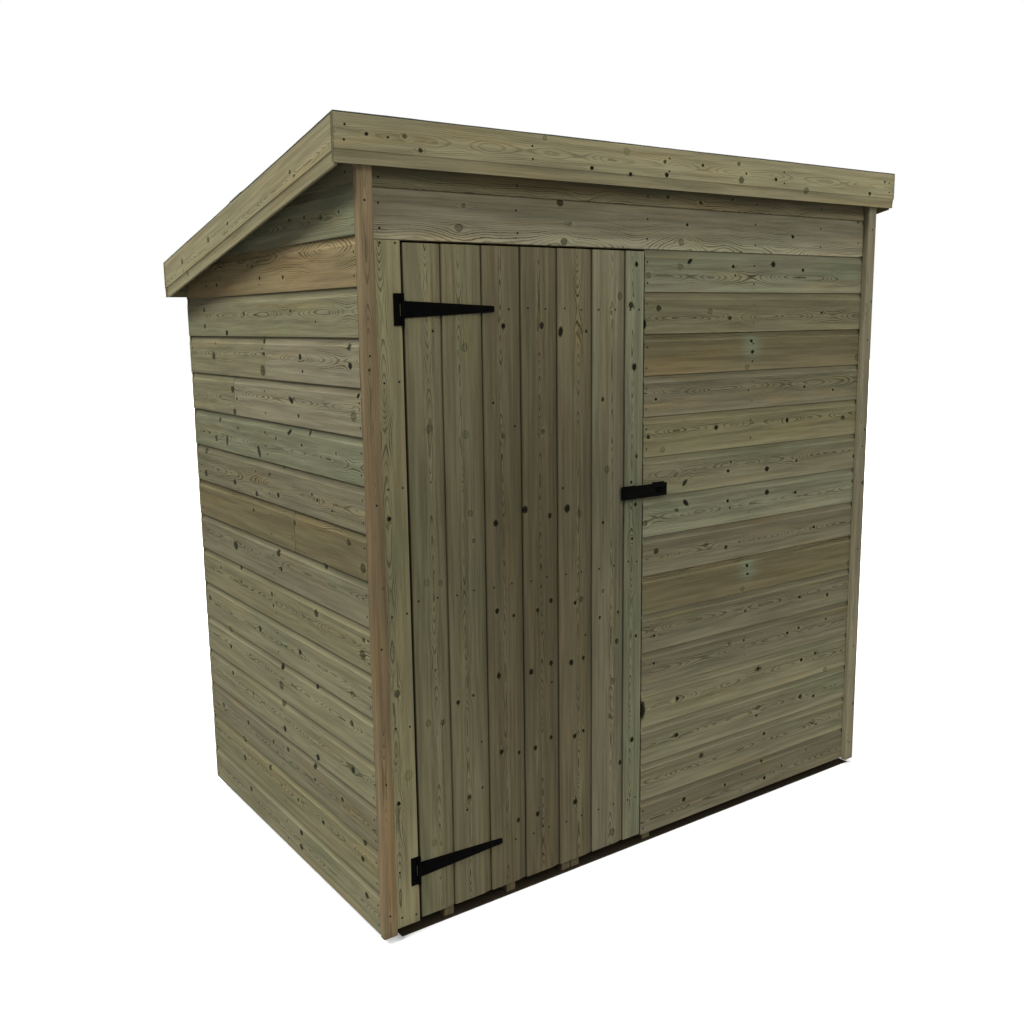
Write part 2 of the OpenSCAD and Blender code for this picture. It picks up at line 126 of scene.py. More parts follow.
def pick(piece, test, kind="VERT"):
    """Selects the corners, edges or faces whose place passes the test, and opens edit mode."""
    only(piece)
    bpy.ops.object.mode_set(mode="EDIT")
    bpy.ops.mesh.select_mode(type=kind)
    bpy.ops.mesh.select_all(action="DESELECT")
    bpy.ops.object.mode_set(mode="OBJECT")
    mesh = piece.data
    if kind == "FACE":
        for face in mesh.polygons:
            face.select = test(face.center, face.normal)
    elif kind == "EDGE":
        for edge in mesh.edges:
            edge.select = all(test(mesh.vertices[v].co) for v in edge.vertices)
    else:
        for corner in mesh.vertices:
            corner.select = test(corner.co)
    bpy.ops.object.mode_set(mode="EDIT")


def push(piece, test, move):
    """Moves the corners that pass the test."""
    pick(piece, test)
    bpy.ops.transform.translate(value=move)
    bpy.ops.object.mode_set(mode="OBJECT")


def draw_out(piece, test, move):
    """Extrudes the faces that pass the test."""
    pick(piece, test, "FACE")
    bpy.ops.mesh.extrude_region_move(TRANSFORM_OT_translate={"value": move})
    bpy.ops.object.mode_set(mode="OBJECT")


def place(piece, at=(0, 0, 0), turn=(0, 0, 0)):
    """Turns a piece about the origin, in degrees, then sets it down at a point."""
    piece.rotation_euler = [math.radians(v) for v in turn]
    piece.location = at
    return settle(piece)


def another(piece, name):
    """A second piece like the first, with its own mesh."""
    twin = bpy.data.objects.new(name, piece.data.copy())
    bpy.context.scene.collection.objects.link(twin)
    return twin


def gather(name, pieces):
    """Joins pieces into one, as a wall is made of its boards."""
    only(*pieces)
    bpy.ops.object.join()
    pieces[0].name = name
    return pieces[0]


def round_edges(piece, width, steps=2, angle=40):
    """Takes the sharpness off every edge and smooths the shading between them."""
    only(piece)
    soft = piece.modifiers.new("soft edges", "BEVEL")
    soft.width = width
    soft.segments = steps
    soft.limit_method = "ANGLE"
    soft.angle_limit = math.radians(angle)
    bpy.ops.object.modifier_apply(modifier="soft edges")
    bpy.ops.object.shade_smooth_by_angle(angle=math.radians(35))
    return piece


print("the bench is ready, with", len(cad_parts), "solids on it")

# %% [markdown]
# ## Moulded boards
# Shed boards come from a moulding machine: a flat face, a hollow along one edge that throws the
# shadow line, a tongue behind that edge, and a lip on the other edge that laps over the next
# board's tongue. One long board is moulded here, and every row of a wall is a copy sawn to length.
# Cross cuts every 20 mm change nothing in the shape, but they let each small face know its knot.

# %% Mould one long board, lying along X with its face to -Y
BOARD_T = 12 * MM
COVER = 112 * MM
DOOR_HOLLOW = ((0, 3.7), (5, 3.6), (9, 3.1), (13, 2.25), (17, 1.3), (21, 0.55), (25, 0.12), (28, 0))
LIP_H = 8 * MM
LAP_GAP = 1.0 * MM
LIP_T = 5.6 * MM
TONGUE_H = 7.4 * MM
CELL = 20 * MM
TINY = 1e-5


def scooped(height, depth):
    """A quarter round scoop with a crisp lower edge, as (mm below the top, mm deep)."""
    turns = [math.radians(a) for a in (90, 72, 54, 38, 24, 12, 0)]
    return [(height * math.cos(a), depth * math.sin(a)) for a in turns]


def moulded_board(name, length, cover=COVER, lip_t=LIP_T, tongue_h=TONGUE_H, hollow=(), eased=2.6 * MM):
    """A board with its hollow and tongue at the top and its lip at the bottom; 0 leaves a part out.
    The lower front edge is eased by a small round."""
    low = LIP_H if lip_t else 0
    board = stick(name, (0, 0, low), (length, BOARD_T, cover))
    split = lip_t or LIP_T
    if lip_t:
        saw(board, (0, lip_t, 0), (0, 1, 0))
        draw_out(board, lambda c, n: n.z < -0.9 and c.y < lip_t, (0, 0, LAP_GAP - LIP_H))
    elif tongue_h:
        saw(board, (0, split, 0), (0, 1, 0))
    if tongue_h:
        draw_out(board, lambda c, n: n.z > 0.9 and c.y > split, (0, 0, tongue_h))
        push(board, lambda p: p.z > cover - TINY and abs(p.y - split) < TINY, (0, 0.4 * MM, 0))
    for down, depth in hollow[1:]:
        saw(board, (0, 0, cover - down * MM), (0, 0, 1))
    for down, depth in hollow:
        height = cover - down * MM
        push(board, lambda p: p.y < TINY and abs(p.z - height) < TINY, (0, depth * MM, 0))
    base = LAP_GAP if lip_t else 0
    pick(board, lambda p: p.y < TINY and p.z < base + TINY, "EDGE")
    bpy.ops.mesh.bevel(offset=eased, segments=3)
    bpy.ops.object.mode_set(mode="OBJECT")
    for height in (20 * MM, 40 * MM, 60 * MM):
        saw(board, (0, 0, height), (0, 0, 1))
    for step in range(1, int(length / CELL)):
        saw(board, (step * CELL, 0, 0), (1, 0, 0))
    return board


wall_board = moulded_board("wall_board_pattern", 1.84, hollow=scooped(19, 4.2), eased=1.3 * MM)
print("one long wall board:", len(wall_board.data.polygons), "faces")

# %% [markdown]
# ## Marking the boards
# Softwood shows where in the tree it was cut. The mark on a board is three things that its material
# reads later: `grain`, a place in the tree with the first number along the trunk; `tone`, the colour
# that this board took from the treatment, with painted light and shade laid across and along it; and
# `knot`, how far each point is from its nearest knot, in knot radii. A knot is a branch, so the rings
# flow round it.

# %% Write the grain, tone and knots on a board
TONES = {
    "olive": (114, 109, 84),
    "light": (118, 114, 90),
    "pale": (122, 117, 92),
    "green": (113, 113, 91),
    "brown": (107, 99, 74),
    "warm": (126, 112, 83),
    "grey": (110, 105, 84),
    "yellow": (118, 112, 85),
    "drab": (98, 91, 70),
    "leaf": (121, 120, 97),
    "head": (128, 122, 100),
    "moss": (118, 132, 110),
    "bearer": (108, 98, 75),
    "fresh": (140, 133, 104),
    "red": (119, 104, 79),
    "post": (130, 124, 94),
    "dusty": (122, 116, 94),
    "sawn": (139, 126, 96),
}


def linear(values):
    """A colour written as 0 to 255 for a screen, as the linear light that shaders use."""
    share = [v / 255 for v in values]
    return [s / 12.92 if s <= 0.04045 else ((s + 0.055) / 1.055) ** 2.4 for s in share]


NO_KNOT = 99.0
MOSS_AMOUNT = 0.42
MOSS_REACH = (34, 26)


def write_mark(mesh, name, kind, where, field, values):
    """Stores one value for each vertex or each face corner of a mesh."""
    layer = mesh.attributes.new(name, kind, where)
    layer.data.foreach_set(field, values.astype(np.float32).ravel())


def knot_offsets(mesh, local, start, axes, knots):
    """Each face corner's place from the knot nearest to its face, in radii, and that knot's darkness."""
    offsets = np.full((len(mesh.loops), 3), NO_KNOT)
    offsets[:, 2] = 0
    if not knots:
        return offsets
    sizes = np.empty(len(mesh.polygons), dtype=np.int64)
    mesh.polygons.foreach_get("loop_total", sizes)
    corners = np.empty(len(mesh.loops), dtype=np.int64)
    mesh.loops.foreach_get("vertex_index", corners)
    middles = np.empty(len(mesh.polygons) * 3)
    mesh.polygons.foreach_get("center", middles)
    middles = (middles.reshape(-1, 3) - np.array(start)) @ axes.T
    table = np.array([k if len(k) == 5 else (*k, 0) for k in knots], dtype=np.float64)
    table[:, :3] *= MM
    gaps = np.hypot(middles[:, None, 0] - table[None, :, 0], middles[:, None, 1] - table[None, :, 1])
    nearest = np.repeat(np.argmin(gaps / (table[None, :, 2] + 0.004), axis=1), sizes)
    own = table[nearest]
    x = (local[corners, 0] - own[:, 0]) / own[:, 2]
    y = (local[corners, 1] - own[:, 1]) / own[:, 2]
    # a slanting branch is cut to a long oval
    slant = np.radians(own[:, 4])
    squeeze = np.where(own[:, 4] == 0, 1.0, 1.6)
    offsets[:, 0] = x * np.cos(slant) + y * np.sin(slant)
    offsets[:, 1] = (y * np.cos(slant) - x * np.sin(slant)) * squeeze
    offsets[:, 2] = own[:, 3]
    return offsets


def mark(piece, tone, knots=(), start=(0, 0, 0), along=(1, 0, 0), up=(0, 0, 1), pith=0.056,
         shade=1.0, painted_light_across=None, base=0.0, painted_shade_and_end_grain=None, cut=(1.0, 0, 0)):
    """Writes the three marks; knots are (along, up, radius, darkness, slant) with lengths in mm, and
    over 1 in darkness means moss round the knot. The list across the board, as (place in mm,
    brightness), paints light and shade into the tone, such as painted shade in the hollow under a lip;
    the list along it does the same lengthwise, such as painted shadow bands and grey end grain. Cut is
    how tightly the rings cross the board, how many mm deeper its heart lies, and how many mm higher."""
    mesh = piece.data
    axes = np.array([along, up, np.cross(up, along)], dtype=np.float64)
    spots = np.empty(len(mesh.vertices) * 3)
    mesh.vertices.foreach_get("co", spots)
    local = (spots.reshape(-1, 3) - np.array(start)) @ axes.T
    seed = chance.uniform(0, 400)
    grain = (local - (0, pith + cut[2] * MM + chance.uniform(-0.014, 0.014), 0)) * (1, cut[0], 1)
    grain += (seed, 0, chance.uniform(0, 0.004) + cut[1] * MM)
    write_mark(mesh, "grain", "FLOAT_VECTOR", "POINT", "vector", grain)
    colour = np.ones((len(mesh.vertices), 4), dtype=np.float32)
    lift = shade * chance.uniform(0.97, 1.03)
    colour[:, :3] = [v * lift for v in linear(TONES[tone])]
    if painted_light_across:
        heights, levels = zip(*painted_light_across)
        colour[:, :3] *= np.interp((local[:, 1] - base) / MM, heights, levels)[:, None]
    if painted_shade_and_end_grain:
        places, levels = zip(*painted_shade_and_end_grain)
        colour[:, :3] *= np.interp(local[:, 0] / MM, places, levels)[:, None]
    for x, y, _, darkness, *_ in knots:
        if darkness > 1:
            away = np.hypot((local[:, 0] / MM - x) / MOSS_REACH[0], (local[:, 1] / MM - y) / MOSS_REACH[1])
            amount = MOSS_AMOUNT * np.exp(-away ** 2)[:, None]
            colour[:, :3] += amount * (np.array(linear(TONES["moss"])) - colour[:, :3])
    write_mark(mesh, "tone", "FLOAT_COLOR", "POINT", "color", colour)
    offsets = knot_offsets(mesh, local, start, axes, knots)
    write_mark(mesh, "knot", "FLOAT_VECTOR", "CORNER", "vector", offsets)


def wild_knots(length, height, every=0.32):
    """Knots for a board that the photograph doesn't show, about one for each third of a metre."""
    knots = []
    x = chance.uniform(0.05, every)
    while x < length:
        up = chance.uniform(0.18, 0.85) * height
        knots.append((x / MM, up / MM, chance.uniform(4, 9), chance.uniform(0.3, 1)))
        x += chance.uniform(0.4, 1.6) * every
    return knots


print(len(TONES), "tones of treated wood")

# %% [markdown]
# ## Shader helpers
# A material is a graph of nodes. Two helpers keep the graphs readable: `lay` puts down one node
# and connects its inputs, and `calc` does one sum.

# %% Lay nodes and do sums
def lay(tree, kind, feeds=None, **settings):
    """Adds a shader node, sets it up, and feeds its inputs with numbers or other nodes' outputs."""
    node = tree.nodes.new("ShaderNode" + kind)
    for name, value in settings.items():
        setattr(node, name, value)
    for key, value in (feeds or {}).items():
        if isinstance(value, bpy.types.NodeSocket):
            tree.links.new(value, node.inputs[key])
        else:
            node.inputs[key].default_value = value
    return node


def calc(tree, how, a, b=0.0, c=0.0, clamp=False):
    """One sum on numbers, such as MULTIPLY or POWER."""
    return lay(tree, "Math", {0: a, 1: b, 2: c}, operation=how, use_clamp=clamp).outputs[0]


def times(tree, a, b):
    """One number times another."""
    return calc(tree, "MULTIPLY", a, b)


def plus(tree, a, b):
    """The sum of two numbers."""
    return calc(tree, "ADD", a, b)


def minus(tree, a, b):
    """One number less another."""
    return calc(tree, "SUBTRACT", a, b)


def length_of(tree, a, b):
    """How long the third side of a right-angled triangle is."""
    return calc(tree, "POWER", plus(tree, times(tree, a, a), times(tree, b, b)), 0.5)


def ease(tree, value, start, end, low=0.0, high=1.0):
    """A smooth step: low before start, high after end."""
    feeds = {0: value, 1: start, 2: end, 3: low, 4: high}
    return lay(tree, "MapRange", feeds, interpolation_type="SMOOTHSTEP").outputs[0]


def mix(tree, amount, a, b, how="MIX"):
    """Mixes two colours by an amount from 0 to 1."""
    return lay(tree, "Mix", {0: amount, 6: a, 7: b}, data_type="RGBA", blend_type=how).outputs[2]


def noise(tree, vector, scale, detail=2.0, rough=0.5, warp=0.0):
    """Cloudy noise from 0 to 1."""
    feeds = {"Vector": vector, "Scale": scale, "Detail": detail, "Roughness": rough, "Distortion": warp}
    return lay(tree, "TexNoise", feeds).outputs["Fac"]


def stretched(tree, vector, scales):
    """The same place with each axis scaled, so that a pattern becomes long and thin."""
    return lay(tree, "VectorMath", {0: vector, 1: scales}, operation="MULTIPLY").outputs[0]


def join_xyz(tree, x, y, z):
    """A place from its three numbers."""
    return lay(tree, "CombineXYZ", {0: x, 1: y, 2: z}).outputs[0]


def new_group(name, inputs, outputs):
    """An empty node group with its named sockets."""
    tree = bpy.data.node_groups.new(name, "ShaderNodeTree")
    for label, kind in inputs:
        tree.interface.new_socket(name=label, in_out="INPUT", socket_type="NodeSocket" + kind)
    for label, kind in outputs:
        tree.interface.new_socket(name=label, in_out="OUTPUT", socket_type="NodeSocket" + kind)
    return tree, tree.nodes.new("NodeGroupInput").outputs, tree.nodes.new("NodeGroupOutput").inputs


def new_material(name):
    """A material with only its Principled shader, and its tree."""
    material = bpy.data.materials.new(name)
    material.use_nodes = True
    return material, material.node_tree, material.node_tree.nodes["Principled BSDF"]


print("shader helpers are ready")

# %% [markdown]
# ## The figure of softwood
# A tree's rings are tubes round its heart. A board is a flat cut through them, so its face shows
# straight lines near the edges and nested arches along the middle, where the cut runs almost along
# one ring. The group does the same: it measures the distance from the heart, lets the heart's depth
# drift along the board, and draws the rings at that distance. Knots push the rings aside.

# %% Wood figure: rings, fibre and knots in one group
def wood_figure():
    """Place and knot in; masks for rings, fibre, bands, knots and a height out."""
    tree, given, out = new_group(
        "wood figure",
        [("Grain", "Vector"), ("Knot", "Vector"), ("Ring Width", "Float"), ("Drift", "Float")],
        [("Rings", "Float"), ("Fibre", "Float"), ("Bands", "Float"), ("Figure", "Float"), ("Knot", "Float"),
         ("Rim", "Float"), ("Halo", "Float"), ("Height", "Float")],
    )
    grain = given["Grain"]
    at = lay(tree, "SeparateXYZ", {0: grain}).outputs
    knot = lay(tree, "SeparateXYZ", {0: given["Knot"]}).outputs
    # distance from the nearest knot, in its radii, a little longer along the grain
    along = times(tree, knot[0], 0.85)
    reach = length_of(tree, along, knot[1])
    ragged = noise(tree, grain, 260.0, 2.0)
    reach = plus(tree, reach, times(tree, minus(tree, ragged, 0.5), 0.7))
    present = ease(tree, knot[2], 0.0, 0.05)
    firm = calc(tree, "MINIMUM", knot[2], 1.0)
    core = times(tree, ease(tree, reach, 1.0, 0.7), firm)
    edge = times(tree, ease(tree, reach, 0.5, 0.85), ease(tree, reach, 1.25, 0.9))
    rim = times(tree, edge, firm)
    spread = plus(tree, calc(tree, "POWER", times(tree, knot[0], 0.28), 2.0),
                  calc(tree, "POWER", times(tree, knot[1], 0.5), 2.0))
    halo = times(tree, calc(tree, "EXPONENT", times(tree, spread, -1.0)), present)
    # rings flow round the knot
    bend = times(tree, times(tree, knot[1], halo), 0.0085)
    # the heart's depth drifts slowly along the board
    slow = join_xyz(tree, times(tree, at[0], 5.4), 0.3, 0.7)
    depth = times(tree, minus(tree, noise(tree, slow, 1.0, 1.0, 0.4), 0.2), 0.045)
    depth = times(tree, depth, given["Drift"])
    wave = noise(tree, stretched(tree, grain, (2.5, 6.0, 6.0)), 1.0, 1.0)
    fray = noise(tree, stretched(tree, grain, (55.0, 210.0, 210.0)), 1.0, 2.0, 0.6)
    side = minus(tree, at[1], bend)
    side = plus(tree, side, times(tree, minus(tree, wave, 0.5), 0.012))
    deep = plus(tree, depth, times(tree, at[2], 0.6))
    radius = length_of(tree, side, deep)
    flat_cut = ease(tree, calc(tree, "DIVIDE", deep, plus(tree, radius, 0.0005)), 0.2, 0.75)
    radius = plus(tree, radius, times(tree, minus(tree, fray, 0.5), 0.0016))
    count = calc(tree, "DIVIDE", radius, given["Ring Width"])
    part = calc(tree, "FRACT", count)
    line = times(tree, ease(tree, part, 0.5, 0.85), ease(tree, part, 1.0, 0.95))
    # some years leave a stronger line than others
    year = {"W": times(tree, count, 0.45), "Scale": 1.0, "Detail": 1.0}
    year_strength = lay(tree, "TexNoise", year, noise_dimensions="1D").outputs["Fac"]
    rings = times(tree, line, ease(tree, year_strength, 0.3, 0.7, 0.3, 1.0))
    broken = ease(tree, noise(tree, stretched(tree, grain, (6.0, 40.0, 40.0)), 1.0, 2.0), 0.3, 0.5)
    shown = plus(tree, 0.2, times(tree, times(tree, flat_cut, broken), 0.8))
    rings = times(tree, rings, shown)
    bands = noise(tree, stretched(tree, grain, (3.2, 75.0, 75.0)), 1.0, 2.5, 0.6)
    bands = ease(tree, bands, 0.3, 0.7)
    fibre = noise(tree, stretched(tree, grain, (9.0, 420.0, 420.0)), 1.0, 3.0, 0.65)
    fibre = ease(tree, fibre, 0.25, 0.75)
    # small rings inside the knot
    eye = plus(tree, times(tree, calc(tree, "SINE", times(tree, reach, 11.0)), 0.2), 0.7)
    core = times(tree, core, calc(tree, "MAXIMUM", eye, ease(tree, firm, 0.4, 0.75)))
    height = minus(tree, times(tree, fibre, 0.5), times(tree, rings, 0.45))
    height = minus(tree, height, times(tree, rim, 0.6))
    results = {"Rings": rings, "Fibre": fibre, "Bands": bands, "Figure": flat_cut,
               "Knot": core, "Rim": rim, "Halo": halo, "Height": height}
    for label, value in results.items():
        tree.links.new(value, out[label])
    return tree


FIGURE = wood_figure()
print("wood figure:", len(FIGURE.nodes), "nodes")

# %% [markdown]
# ## Stain from the treatment
# Pressure treatment soaks in unevenly: it leaves cloudy green and brown patches a hand wide, and
# rubs of grey dirt from stacking. The patches are wide noise, stretched along the grain.

# %% Treatment clouds as a second group
def treatment_clouds():
    """Grain place in; a mask for greener wood, one for browner wood and one for dirt out."""
    tree, given, out = new_group(
        "treatment clouds", [("Grain", "Vector")],
        [("Green", "Float"), ("Brown", "Float"), ("Dirt", "Float")],
    )
    grain = given["Grain"]
    wide = noise(tree, stretched(tree, grain, (2.6, 11.0, 11.0)), 1.0, 2.0, 0.5, 0.4)
    other = noise(tree, stretched(tree, grain, (1.7, 16.0, 16.0)), 1.3, 2.0, 0.5, 0.6)
    rub = noise(tree, stretched(tree, grain, (14.0, 60.0, 60.0)), 1.0, 4.0, 0.7)
    tree.links.new(ease(tree, wide, 0.48, 0.72), out["Green"])
    tree.links.new(ease(tree, other, 0.5, 0.75), out["Brown"])
    tree.links.new(ease(tree, rub, 0.52, 0.8), out["Dirt"])
    return tree


CLOUDS = treatment_clouds()
print("treatment clouds:", len(CLOUDS.nodes), "nodes")

# %% One finish for all timber


def group_node(tree, group, feeds):
    """Places a node group in a material."""
    return lay(tree, "Group", feeds, node_tree=group).outputs


def wood_finish(tree, shader, grain, tone, knot, ring_width, ring_dark, green, brown, rough, relief,
                drift=1.0):
    """Joins figure and clouds into colour, roughness and bump for one kind of timber."""
    marks = {"Grain": grain, "Knot": knot, "Ring Width": ring_width, "Drift": drift}
    figure = group_node(tree, FIGURE, marks)
    clouds = group_node(tree, CLOUDS, {"Grain": grain})

    def glaze(colour, mask, strength, tint):
        """A see-through layer of tint where the mask is."""
        return mix(tree, times(tree, mask, strength), colour, (*tint, 1), "MULTIPLY")

    colour = glaze(tone, clouds["Green"], green, (0.88, 0.98, 0.93))
    colour = glaze(colour, clouds["Brown"], brown, (1.14, 1.0, 0.82))
    lighter = mix(tree, 1.0, colour, (1.18, 1.17, 1.15, 1), "MULTIPLY")
    darker = mix(tree, 1.0, colour, (0.83, 0.825, 0.82, 1), "MULTIPLY")
    colour = mix(tree, figure["Bands"], lighter, darker)
    colour = glaze(colour, figure["Figure"], 0.8, (1.10, 1.12, 1.12))
    colour = glaze(colour, figure["Rings"], ring_dark, (0.20, 0.18, 0.12))
    colour = glaze(colour, figure["Fibre"], 0.48, (0.70, 0.70, 0.71))
    colour = glaze(colour, clouds["Dirt"], 0.35, (0.66, 0.66, 0.64))
    colour = glaze(colour, figure["Halo"], 0.5, (1.05, 1.12, 1.04))
    colour = glaze(colour, figure["Rim"], 0.8, (0.16, 0.14, 0.09))
    colour = mix(tree, figure["Knot"], colour, (0.006, 0.005, 0.0025, 1))
    tree.links.new(colour, shader.inputs["Base Color"])
    grit = plus(tree, rough, times(tree, figure["Fibre"], 0.12))
    polish = times(tree, figure["Knot"], 0.2)
    tree.links.new(minus(tree, grit, polish), shader.inputs["Roughness"])
    bump = lay(tree, "Bump", {"Height": figure["Height"], "Strength": relief, "Distance": 0.0007})
    tree.links.new(bump.outputs[0], shader.inputs["Normal"])
    shader.inputs["Specular IOR Level"].default_value = 0.03


print("one finish joins", FIGURE.name, "and", CLOUDS.name)

# %% [markdown]
# ## Materials of the timber
# Two kinds of wood share the groups. Moulded boards read the marks that were written on them.
# The plain frame inside comes straight from the solids, which carry no marks, so its material
# reads places on the object instead, with the trunk turned along X, Y or Z.

# %% Treated boards, from their marks
def attribute(tree, name, output):
    """A mark that was written on the mesh."""
    return lay(tree, "Attribute", attribute_name=name).outputs[output]


def marked_wood(name, ring_width=0.0028, ring_dark=1.0, green=0.6, brown=0.6, rough=0.8, relief=0.5):
    """A material for boards that carry grain, tone and knot marks."""
    material, tree, shader = new_material(name)
    wood_finish(tree, shader, attribute(tree, "grain", "Vector"), attribute(tree, "tone", "Color"),
                attribute(tree, "knot", "Vector"), ring_width, ring_dark, green, brown, rough, relief)
    return material


SHIPLAP = marked_wood("treated_shiplap")
DOOR_WOOD = marked_wood("treated_door_boards", ring_width=0.0026, ring_dark=1.0, brown=0.45)
TRIM_WOOD = marked_wood("corner_trim_wood", ring_width=0.0034, ring_dark=0.55, green=0.15, brown=0.8)
FASCIA_WOOD = marked_wood("fascia_wood", ring_width=0.0030, ring_dark=0.6, green=0.35, brown=0.5)
print("board materials:", [m.name for m in (SHIPLAP, DOOR_WOOD, TRIM_WOOD, FASCIA_WOOD)])


# %% Sawn timber, from its place on the object
def plain_wood(name, tone, trunk, ring_width=0.0035, ring_dark=0.5, rough=0.8, rails=False, boards=None):
    """Unmarked timber whose trunk lies along X, Y, Z or a brace; with rails, the low and high bands
    lie level, and boards gives the first edge and the width of boards that lie along X."""
    material, tree, shader = new_material(name)
    spot = lay(tree, "TexCoord").outputs["Object"]
    turns = {"X": (0, 0, 0), "Y": (0, 0, math.pi / 2), "Z": (0, math.pi / 2, 0), "brace": (0, BRACE_RISE, 0)}
    turned = lay(tree, "Mapping", {"Vector": spot, "Rotation": turns[trunk]}).outputs[0]
    if rails:
        level = lay(tree, "Mapping", {"Vector": spot, "Rotation": turns[rails]}).outputs[0]
        xyz = lay(tree, "SeparateXYZ", {0: spot}).outputs
        under = plus(tree, xyz[2], times(tree, xyz[1], math.tan(SLOPE)))
        low_rail = calc(tree, "LESS_THAN", xyz[2], LOW_RAIL_TOP)
        high_rail = calc(tree, "GREATER_THAN", under, RAIL_LINE)
        band = calc(tree, "ADD", low_rail, high_rail, clamp=True)
        turned = lay(tree, "Mix", {0: band, 4: turned, 5: level}, data_type="VECTOR").outputs[1]
    # each stick of a set comes from another place in the tree
    cells = stretched(tree, spot, (2.3, 2.3, 0.6))
    shift = lay(tree, "TexNoise", {"Vector": cells, "Scale": 1.0, "Detail": 0.0}).outputs["Color"]
    aside = stretched(tree, shift, (0.02, 0.02, 0.02))
    moved = lay(tree, "VectorMath", {0: turned, 1: aside}, operation="ADD").outputs[0]
    if boards:
        first, wide = boards
        xyz = lay(tree, "SeparateXYZ", {0: spot}).outputs
        across = calc(tree, "DIVIDE", minus(tree, xyz[1], first), wide)
        own = times(tree, minus(tree, calc(tree, "FRACT", across), 0.5), wide)
        number = calc(tree, "FLOOR", across)
        draws = lay(tree, "TexWhiteNoise", {"W": number}, noise_dimensions="1D").outputs["Color"]
        draw = lay(tree, "SeparateXYZ", {0: draws}).outputs
        moved = join_xyz(
            tree,
            plus(tree, xyz[0], times(tree, draw[0], 40.0)),
            plus(tree, own, times(tree, minus(tree, draw[1], 0.5), 0.08)),
            minus(tree, xyz[2], times(tree, draw[2], 0.04)))
        cells = join_xyz(tree, number, times(tree, number, 3.7), 0.5)
    no_knot = join_xyz(tree, NO_KNOT, NO_KNOT, 0.0)
    light = linear(TONES[tone])
    dark = [v * 0.86 for v in light]
    patches = ease(tree, noise(tree, cells, 1.0, 2.0), 0.3, 0.7)
    tint = mix(tree, patches, (*light, 1), (*dark, 1))
    wood_finish(tree, shader, moved, tint, no_knot, ring_width, ring_dark, 0.2, 0.4, rough, 0.7,
                1.0 if boards else 0.12)
    return material


print("sawn timber turns its trunk along X, Y, Z or a brace")

# %% Timber for the frame, the roof and the floor
SLOPE = math.radians(11.8)
BRACE_RISE = math.radians(44.5)
ROOF_EDGE_Y = -0.601
ROOF_HIGH = 1.955
FELT_T = 0.0025
DECK_AND_FELT = 0.0135
DECK_AIR = 0.0002
RAIL_H = 0.046
LOW_RAIL_TOP = 0.0945
DECK_TOP = ROOF_HIGH - FELT_T / math.cos(SLOPE)
DECK_UNDER = ROOF_HIGH - DECK_AND_FELT / math.cos(SLOPE) - DECK_AIR
RAIL_LINE = DECK_UNDER + ROOF_EDGE_Y * math.tan(SLOPE) - RAIL_H
SAWN_X = plain_wood("sawn_timber_along_x", "sawn", "X")
SAWN_Y = plain_wood("sawn_timber_along_y", "sawn", "Y")
FRAME_X = plain_wood("wall_frame_across", "sawn", "Z", rails="X")
FRAME_Y = plain_wood("wall_frame_deep", "sawn", "Z", rails="Y")
FLOOR_BOARD_W = 0.095
FLOOR_WOOD = plain_wood("floor_boards", "sawn", "X", ring_width=0.003, ring_dark=0.7, rough=0.65,
                        boards=(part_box("floor_boards")[0][1], FLOOR_BOARD_W))
BRACE_WOOD = plain_wood("braces", "sawn", "brace")
BEARERS = plain_wood("bearers_in_the_shade", "bearer", "Y")
inside = {
    "floor_bearers": BEARERS, "floor_boards": FLOOR_WOOD, "front_frame": FRAME_X, "back_frame": FRAME_X,
    "left_frame": FRAME_Y, "right_frame": FRAME_Y, "roof_purlins": SAWN_X, "roof_battens": SAWN_Y,
    "roof_deck": SAWN_X, "door_ledge_top": SAWN_X, "door_ledge_middle": SAWN_X,
    "door_ledge_bottom": SAWN_X, "door_brace_upper": BRACE_WOOD, "door_brace_lower": BRACE_WOOD,
}
for node, material in inside.items():
    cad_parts[node].data.materials.clear()
    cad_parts[node].data.materials.append(material)
print(len(inside), "solid pieces keep their shape and get timber")

# %% [markdown]
# ## Laying a boarded wall
# A boarded wall starts at the ground: the lowest board is nailed on, each next one laps over its
# tongue, and the last is cut to the roof. A row can be one board or two that meet on a stud. Every
# board is its own piece of wood, so each gets its own tone, marks and a hair of unevenness.

# %% Saw one board of a row
def under_deck(y):
    """Height of the roof deck's underside at a depth y."""
    return DECK_UNDER - (y - ROOF_EDGE_Y) * math.tan(SLOPE)


def cut_under_roof(piece):
    """Saws off what would stick through the roof deck."""
    saw(piece, (0, ROOF_EDGE_Y, DECK_UNDER), (0, math.sin(SLOPE), math.cos(SLOPE)), drop=True)


FULL_ROW = 111
HALF_ROW = 56
JOINT_GAP = 0.0007
RIP_AIR = 0.0008
END_GRAIN = 1.5 * MM
LONGEST = 1.8


def board_for_row(name, x0, x1, low, high, gap):
    """One board for a row, taken anywhere from the long one and sawn to its length and height."""
    board = another(wall_board, name)
    slip = chance.uniform(0, 1) * (LONGEST - (x1 - x0)) // CELL * CELL
    place(board, (-slip, 0, 0))
    saw(board, (gap if x0 else TINY, 0, 0), (-1, 0, 0), drop=True)
    saw(board, (x1 - x0 - gap, 0, 0), (1, 0, 0), drop=True)
    if high - low < FULL_ROW:
        # the lowest board is ripped narrower from below
        saw(board, (0, 0, COVER - (high - low) * MM + RIP_AIR), (0, 0, -1), drop=True)
    if gap:
        for cut in (END_GRAIN, x1 - x0 - END_GRAIN):
            saw(board, (cut, 0, 0), (1, 0, 0))
    place(board, (x0, chance.uniform(-0.3, 0.3) * MM, high * MM - COVER))
    return board


print("the deck's underside is", round(under_deck(ROOF_EDGE_Y), 3), "m up at the front edge of the roof")

# %% Board a wall
HIDDEN_TONES = ("olive", "pale", "green", "brown", "grey", "olive")
SLIVER = 0.002
OVERLAP = 4


